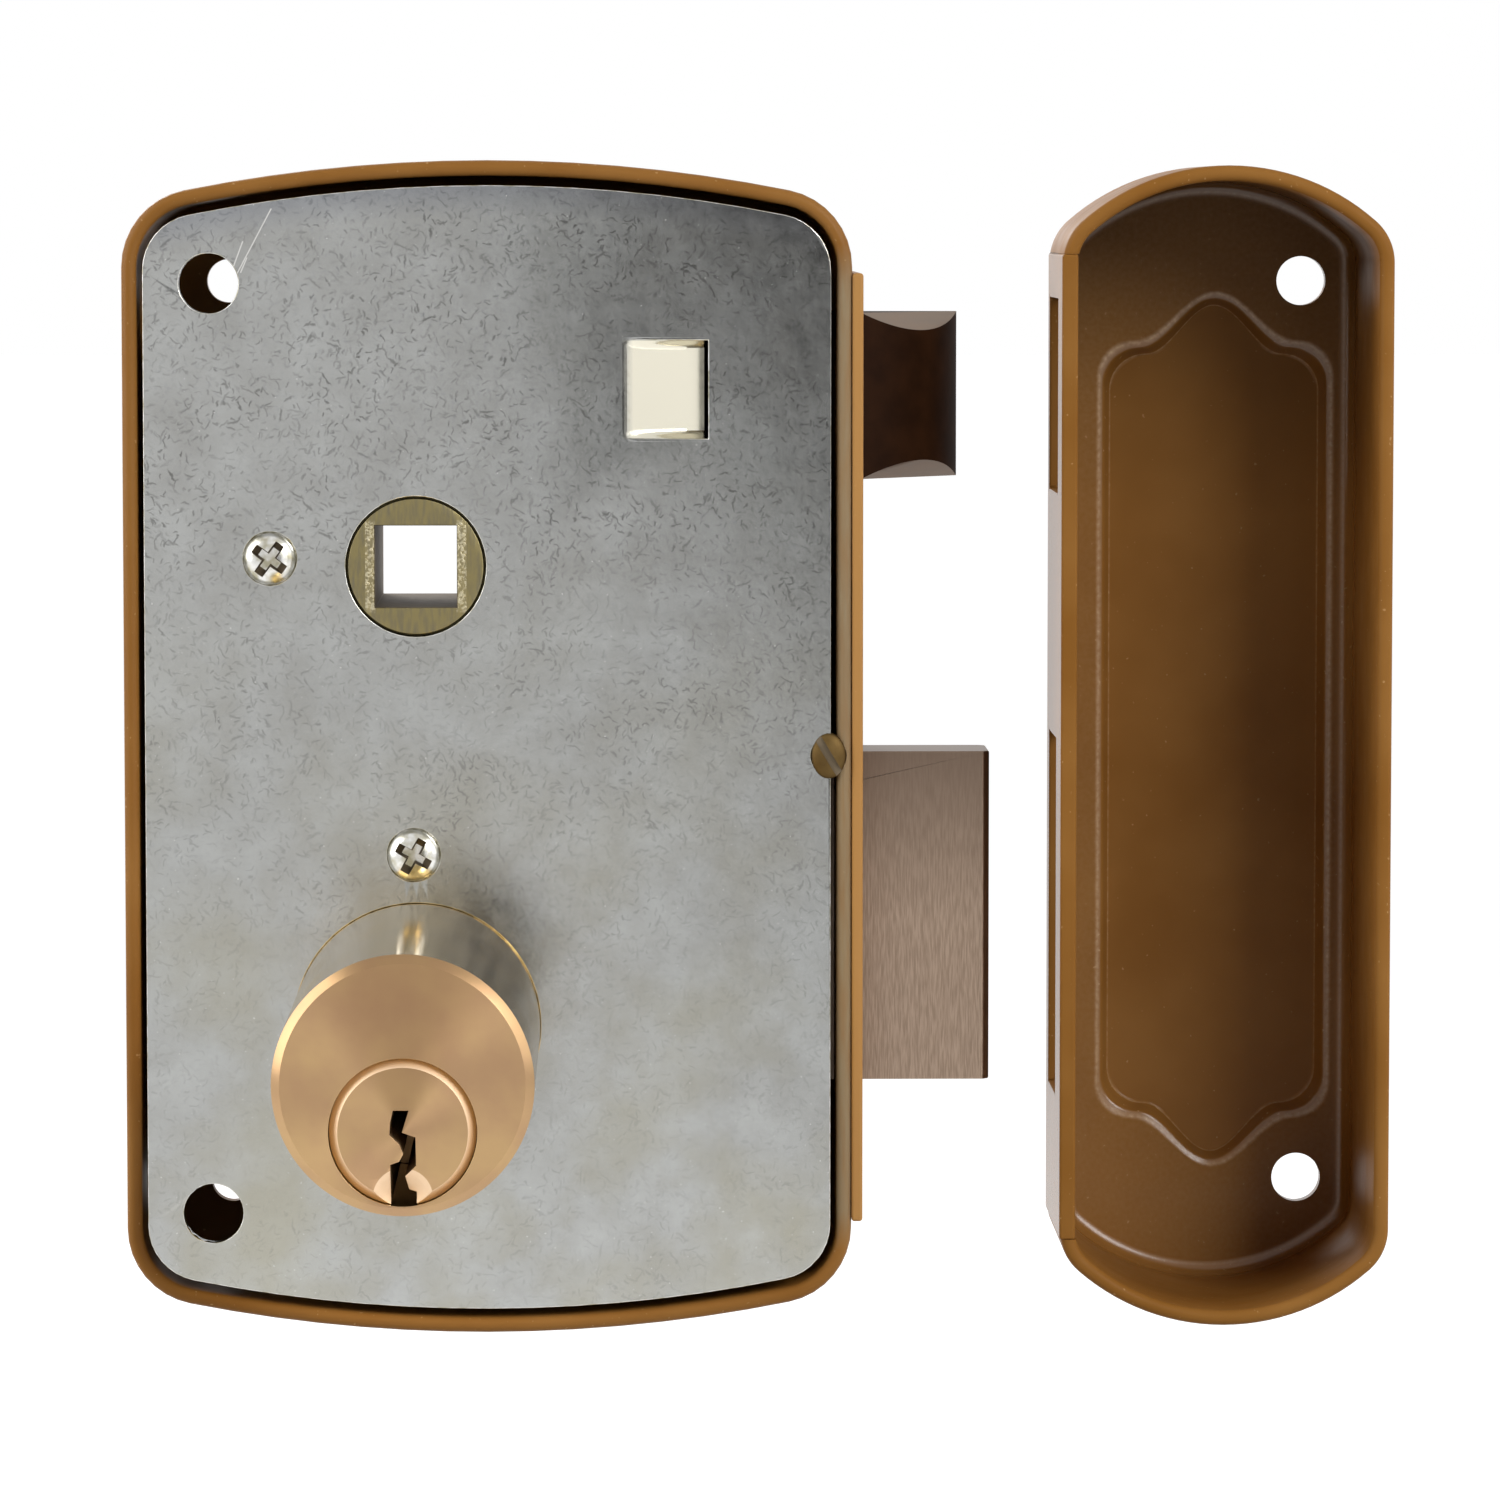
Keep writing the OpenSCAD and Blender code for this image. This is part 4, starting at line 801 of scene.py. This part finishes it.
class RIMLOCK_OT_keeper(bpy.types.Operator):
    """Builds the keeper: a drawn box with a pressed panel, fixing holes and a strike plate"""

    bl_idname = "rimlock.keeper"
    bl_label = "Keeper"

    def execute(self, context):
        s = sizes()
        low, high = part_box("keeper_box")
        middle = (low.x + high.x) / 2
        half_w, half_h = (high.x - low.x) / 2, (high.z - low.z) / 2
        sheet, fold, depth = s.keeper_sheet, s.keeper_fold, s.keeper_depth
        section = arc((fold, depth - fold), fold, 90, 180, FOLD_STEPS)
        section += arc((sheet / 2, sheet / 2), sheet / 2, 180, 360, LIP_STEPS)
        section += arc((fold, depth - fold), fold - sheet, 180, 90, INNER_FOLD_STEPS)
        walls = []
        for inset, y in section:
            outline = arched_outline(
                half_w - inset, half_h - inset, s.keeper_arch - inset, s.keeper_corner - inset
            )
            walls.append([(middle + x, y, z) for x, z in outline])
        points = [p for ring in walls for p in ring]
        faces = skin(walls)
        holes = []
        for side in (-1, 1):
            centre = (middle + s.keeper_hole_side, side * s.keeper_hole_spacing / 2)
            holes.append(arc(centre, s.keeper_hole / 2, 0, 360 - 360 / HOLE_STEPS, HOLE_STEPS - 1))
        for y, edge in ((depth, walls[0]), (depth - sheet, walls[-1])):
            self.floor(points, faces, middle, y, edge, holes)
        for hole in holes:
            rings = [[(x, y, z) for x, z in hole] for y in (depth, depth - sheet)]
            faces += skin(rings, len(points))
            points += [p for ring in rings for p in ring]
        obj = new_piece("keeper_drawn_box", points, faces, glossy_keeper_enamel)
        a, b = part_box("keeper_strike_plate")
        left, right = low.x - sheet, low.x + 2 * sheet
        room = (right - left) / 2, (b.z - a.z) / 2
        gap = cutting_block(glossy_keeper_enamel, (-sheet, *room), (b.y, *room))
        gap.location = ((left + right) / 2, 0, (a.z + b.z) / 2)
        cut(obj, gap)
        smooth(obj, SHARP_ON_KEEPER)
        obj.data.materials.append(finish(brown_stoved_enamel))
        for face in obj.data.polygons:
            turned_out = face.normal.x * (face.center.x - middle) + face.normal.z * face.center.z > 0
            level = abs(face.normal.y) < LEVEL
            face.material_index = 1 if face.normal.y > LEVEL or (level and turned_out) else 0
        mount(obj, "keeper", "keeper_box")

        def outside(face):
            return 1 if face.normal.x < -FACING else 0

        finishes = (glossy_keeper_enamel, glossy_brown_enamel)
        dress("keeper_strike_plate", *finishes, edge=s.bar_edge, pick=outside)
        return {"FINISHED"}

    def floor(self, points, faces, middle, y, edge, holes):
        """One side of the floor: the flat with its holes, the sloping band and the panel."""
        s = sizes()
        rings = []
        middle += s.panel_shift
        for i in range(BAND_STEPS + 1):
            t = i / BAND_STEPS
            outline = panel_outline(s.panel_band * (BAND_OUTSIDE - t))
            rings.append([(middle + x, y + s.panel_press * slope(t), z) for x, z in outline])
        start, count = len(points), len(rings[0])
        points += [p for ring in rings for p in ring]
        faces += skin(rings, start)
        faces.append(tuple(range(len(points) - count, len(points))))
        loops = [edge, rings[0]] + [[(x, y, z) for x, z in hole] for hole in holes]
        first = len(points)
        points += [p for loop in loops for p in loop]
        flat = tessellate_polygon([[Vector(p) for p in loop] for loop in loops])
        faces += [tuple(first + i for i in corners) for corners in flat]


class RIMLOCK_OT_case(bpy.types.Operator):
    """Dresses the drawn case cover and its forend plate"""

    bl_idname = "rimlock.case"
    bl_label = "Case"

    def execute(self, context):
        dress("case_cover", brown_stoved_enamel)
        dress("forend_plate", tan_stoved_enamel, edge=sizes().bar_edge)
        return {"FINISHED"}


class RIMLOCK_OT_plate(bpy.types.Operator):
    """Dresses the mounting plate, smooths its pressed ramp and builds its screws"""

    bl_idname = "rimlock.plate"
    bl_label = "Plate and screws"

    def execute(self, context):
        dress("mounting_plate", zinc_plated_steel, bright_zinc_steel, edge=sizes().sheet_edge)
        self.ramp()
        self.screws()
        self.seam()
        return {"FINISHED"}

    def ramp(self):
        """The ramp's smooth face: it leaves the plate level, sinks to the right and has rounded sides."""
        s = sizes()
        left = s.ramp_left - RAMP_LAP
        wide = s.ramp_width + RAMP_LAP - s.ramp_slit
        tall = s.ramp_height / 2 + RAMP_LAP
        row = RAMP_STEPS + 1
        points = []
        for i in range(row):
            fall = s.ramp_press * rounded_rise(i / RAMP_STEPS, RAMP_START)
            for j in range(row):
                off = tall * (2 * j / RAMP_STEPS - 1)
                press = fall * ease((tall - abs(off)) / s.ramp_round)
                points.append((left + wide * i / RAMP_STEPS, press - RAMP_LIFT, s.ramp_middle + off))
        corners = [i * row + j for i in range(RAMP_STEPS) for j in range(RAMP_STEPS)]
        faces = [(i, i + 1, i + row + 1, i + row) for i in corners]
        obj = new_piece("plate_ramp_face", points, faces, zinc_plated_steel)
        if obj.data.polygons[0].normal.y > 0:
            obj.data.flip_normals()
        smooth(obj)
        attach(obj, "case")

    def screws(self):
        """Pan heads with a cross recess."""
        s = sizes()
        half = s.screw_head / 2
        low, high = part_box("plate_screws")
        top = s.screw_seat - s.screw_height
        profile = [(SCREW_AXIS, top)]
        for i in range(1, SCREW_STEPS + 1):
            t = math.radians(90 * i / SCREW_STEPS)
            crown = s.screw_height * math.cos(t) ** HEAD_CROWN
            profile.append((half * math.sin(t) ** HEAD_SPREAD, s.screw_seat - crown))
        profile.append((SCREW_AXIS, s.screw_seat))
        centres = ((low.x + half, high.z - half), (high.x - half, low.z + half))
        turns = (s.upper_screw_turn, s.lower_screw_turn)
        for number, (centre, turn) in enumerate(zip(centres, turns)):
            screw = new_piece(f"plate_screw_{number + 1}", *lathe(profile, centre), bright_zinc_steel)
            for wing in (turn, turn + math.pi / 2):
                cut(screw, recess_wing(centre, top, wing))
            for face in screw.data.polygons:
                if abs(face.normal.y) > RECESS_LEVEL:
                    face.material_index = 0
            smooth(screw, SHARP_ON_SCREWS)
            mount(screw, "case", "plate_screws")

    def seam(self):
        """The seam screw's head stands tilted, so it shows as an oval dome with a slanting slot."""
        s = sizes()
        low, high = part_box("seam_screw")
        centre = ((low.x + high.x) / 2, (low.z + high.z) / 2)
        profile = [(SEAM_AXIS, low.y)]
        for i in range(1, SEAM_STEPS + 1):
            t = math.radians(90 * i / SEAM_STEPS)
            profile.append((math.sin(t), low.y * math.cos(t)))
        profile += [(1.0, MM), (SEAM_AXIS, MM)]
        points, faces = lathe(profile, (0, 0))
        wide, tall = s.seam_width / 2, s.seam_height / 2
        points = [(centre[0] + x * wide, y, centre[1] + z * tall) for x, y, z in points]
        screw = new_piece("seam_screw_head", points, faces, aged_brass)
        half = s.seam_slot / 2
        levels = [(share * low.y, SLOT_HALF, half) for share in SLOT_LEVELS]
        slot = cutting_block(dull_bored_steel, *levels)
        slot.location = (centre[0], 0, centre[1])
        slot.rotation_euler = (0, s.seam_turn, 0)
        cut(screw, slot)
        smooth(screw, SHARP_ON_SCREWS)
        mount(screw, "case", "seam_screw")


def recess_wing(centre, top, turn):
    """One tapered wing of a cross recess, standing in the screw's head."""
    s = sizes()
    levels = []
    for y, shares in ((top - CUTTER_OVER, (1, 1)), (top + s.recess_depth, RECESS_FLOOR)):
        levels.append((y, shares[0] * s.recess_length / 2, shares[1] * s.recess_width / 2))
    wing = cutting_block(dull_bored_steel, *levels)
    wing.location = (centre[0], 0, centre[1])
    wing.rotation_euler = (0, turn, 0)
    return wing


class RIMLOCK_OT_hub(bpy.types.Operator):
    """Dresses the spindle hub"""

    bl_idname = "rimlock.hub"
    bl_label = "Spindle hub"

    def execute(self, context):
        s = sizes()
        low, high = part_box("spindle_hub")
        middle = (low + high) / 2
        reach = BORE_REACH * s.spindle_square

        def bore(face):
            off = face.center - middle
            return 1 if abs(face.normal.y) < FACING and max(abs(off.x), abs(off.z)) < reach else 0

        dress("spindle_hub", yellow_passivated_steel, dull_bored_steel, edge=s.turned_edge, pick=bore)
        return {"FINISHED"}


class RIMLOCK_OT_cylinder(bpy.types.Operator):
    """Dresses the key cylinder and its plug"""

    bl_idname = "rimlock.cylinder"
    bl_label = "Key cylinder"

    def execute(self, context):
        edge = sizes().turned_edge
        dress("cylinder_body", satin_turned_brass, polished_brass, edge=edge, pick=turned("y", *BARREL))
        dress("cylinder_plug", satin_turned_brass, matt_brass, edge=edge, pick=turned("y", *CHAMFER))
        return {"FINISHED"}


class RIMLOCK_OT_bolts(bpy.types.Operator):
    """Dresses the latch and the deadbolt"""

    bl_idname = "rimlock.bolts"
    bl_label = "Latch and deadbolt"

    def execute(self, context):
        edge = sizes().bar_edge / 2
        dress("latch_head", browned_steel, ground_steel, edge=edge, pick=turned("z", *BEVEL))
        dress("deadbolt_head", drawn_bolt_steel, edge=edge)
        return {"FINISHED"}


class RIMLOCK_OT_turn(bpy.types.Operator):
    """Dresses the thumb turn on the room side"""

    bl_idname = "rimlock.turn"
    bl_label = "Thumb turn"

    def execute(self, context):
        dress("thumb_turn", brown_stoved_enamel, edge=sizes().turn_edge)
        return {"FINISHED"}


STEEL_INSIDE = (
    "plate_posts", "hub_lever", "latch_tail", "latch_pin", "latch_guide", "latch_spring_stop",
    "deadbolt_tail", "deadbolt_rivets", "bolt_friction_spring", "cylinder_clip", "plug_clip",
    "driver_pins", "pin_springs", "tail_bar", "bolt_cam",
)


class RIMLOCK_OT_inside(bpy.types.Operator):
    """Dresses the mechanism inside the case"""

    bl_idname = "rimlock.inside"
    bl_label = "Mechanism"

    def execute(self, context):
        for name in STEEL_INSIDE:
            dress(name, plain_steel)
        dress("key_pins", polished_brass)
        return {"FINISHED"}


class RIMLOCK_OT_spring(bpy.types.Operator):
    """Winds the latch spring, which in the lock is pressed together as the latch is drawn; here it keeps
    its wound length
    """

    bl_idname = "rimlock.spring"
    bl_label = "Latch spring"

    def execute(self, context):
        wire = sizes().spring_wire
        low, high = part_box("latch_spring")
        middle = (low + high) / 2
        around = [math.tau * j / WIRE_SIDES for j in range(WIRE_SIDES)]
        steps = SPRING_TURNS * STEPS_PER_TURN
        rings = []
        for i in range(steps + 1):
            turn = math.tau * i / STEPS_PER_TURN
            x = low.x + wire / 2 + (high.x - low.x - wire) * i / steps
            ring = []
            for b in around:
                reach = (high.z - low.z - wire + wire * math.cos(b)) / 2
                y, z = middle.y + reach * math.sin(turn), middle.z + reach * math.cos(turn)
                ring.append((x + wire / 2 * math.sin(b), y, z))
            rings.append(ring)
        spring = new_piece("latch_coil_spring", *tube(rings), plain_steel)
        smooth(spring)
        mount(spring, "case", "latch_spring")
        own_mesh(spring)
        return {"FINISHED"}


def lamp(name, place, size, power, aim):
    """A square softbox that faces a point."""
    data = bpy.data.lights.new(name, "AREA")
    data.size = size
    data.energy = power
    obj = bpy.data.objects.new(name, data)
    obj.location = place
    obj.rotation_euler = (Vector(aim) - Vector(place)).to_track_quat("-Z", "Y").to_euler()
    bpy.context.scene.collection.objects.link(obj)
    return obj


def stage_sheet(name, points, maker):
    """A flat sheet that belongs to the stage."""
    mesh = bpy.data.meshes.new(name)
    mesh.from_pydata(points, [], [tuple(range(len(points)))])
    mesh.materials.append(finish(maker))
    obj = bpy.data.objects.new(name, mesh)
    bpy.context.scene.collection.objects.link(obj)
    return obj


class RIMLOCK_OT_stage(bpy.types.Operator):
    """Sets the floor, the soft studio light, the background and the camera"""

    bl_idname = "rimlock.stage"
    bl_label = "Studio stage"

    def execute(self, context):
        s = sizes()
        scene = context.scene
        scene.view_settings.view_transform = "Standard"
        self.background(scene)
        corners = ((-1, FLOOR_NEAR), (1, FLOOR_NEAR), (1, FLOOR_FAR), (-1, FLOOR_FAR))
        ground = [(side * FLOOR_SIDE, y, -s.floor_drop) for side, y in corners]
        stage_sheet("studio_floor", ground, white_studio_floor)
        card = stage_sheet("dark_card", [(x, CARD_Y, z) for x, z in CARD_EDGE], black_card_paper)
        card.visible_camera = False
        aim = Vector((s.aim_x, 0, s.aim_z))
        lamps = {name: lamp(name, *facts, aim) for name, facts in SOFTBOXES.items()}
        lamps["front_fill"].visible_glossy = False
        self.camera(scene, aim)
        return {"FINISHED"}

    def background(self, scene):
        """An even pale room, white where it is seen or mirrored."""
        world = bpy.data.worlds.new("studio")
        world.use_nodes = True
        world.node_tree.nodes.clear()
        add = partial(add_node, world.node_tree)
        strength = add("MapRange", {0: seen(add), 3: ROOM_LIGHT})
        sky = add("Background", {"Color": colours().backdrop, "Strength": strength})
        add("OutputWorld", {"Surface": sky})
        scene.world = world

    def camera(self, scene, aim):
        """The photograph's view: a long lens, a little from above and from the left."""
        s = sizes()
        rise, side = s.camera_rise, s.camera_side
        flat = math.cos(rise)
        forward = Vector((math.sin(side) * flat, math.cos(side) * flat, -math.sin(rise)))
        data = bpy.data.cameras.new("photo_camera")
        data.lens = LENS_MM
        data.sensor_width = SENSOR_MM
        data.clip_end = SIGHT
        camera = bpy.data.objects.new("photo_camera", data)
        camera.location = aim - s.camera_distance * forward
        camera.rotation_euler = forward.to_track_quat("-Z", "Y").to_euler()
        scene.collection.objects.link(camera)
        scene.camera = camera


OPERATORS = (
    RIMLOCK_OT_case,
    RIMLOCK_OT_plate,
    RIMLOCK_OT_hub,
    RIMLOCK_OT_cylinder,
    RIMLOCK_OT_bolts,
    RIMLOCK_OT_turn,
    RIMLOCK_OT_inside,
    RIMLOCK_OT_spring,
    RIMLOCK_OT_keeper,
    RIMLOCK_OT_stage,
)


class RIMLOCK_PT_panel(bpy.types.Panel):
    """One button for each group of pieces, and the sizes and colours they use"""

    bl_idname = "RIMLOCK_PT_panel"
    bl_label = "Rim Lock"
    bl_space_type = "VIEW_3D"
    bl_region_type = "UI"
    bl_category = "Rim Lock"

    def draw(self, context):
        for operator in OPERATORS:
            self.layout.operator(operator.bl_idname)
        for group in (context.scene.rim_lock_sizes, context.scene.rim_lock_colours):
            column = self.layout.column()
            for name in group.__annotations__:
                column.prop(group, name)


CLASSES = (RimLockSizes, RimLockColours) + OPERATORS + (RIMLOCK_PT_panel,)


def register():
    for cls in CLASSES:
        bpy.utils.register_class(cls)
    bpy.types.Scene.rim_lock_sizes = PointerProperty(type=RimLockSizes)
    bpy.types.Scene.rim_lock_colours = PointerProperty(type=RimLockColours)


def unregister():
    del bpy.types.Scene.rim_lock_colours
    del bpy.types.Scene.rim_lock_sizes
    for cls in reversed(CLASSES):
        bpy.utils.unregister_class(cls)


def main():
    register()
    bpy.ops.rimlock.case()
    bpy.ops.rimlock.plate()
    bpy.ops.rimlock.hub()
    bpy.ops.rimlock.cylinder()
    bpy.ops.rimlock.bolts()
    bpy.ops.rimlock.turn()
    bpy.ops.rimlock.inside()
    bpy.ops.rimlock.spring()
    bpy.ops.rimlock.keeper()
    bpy.ops.rimlock.stage()


if __name__ == "__main__":
    main()
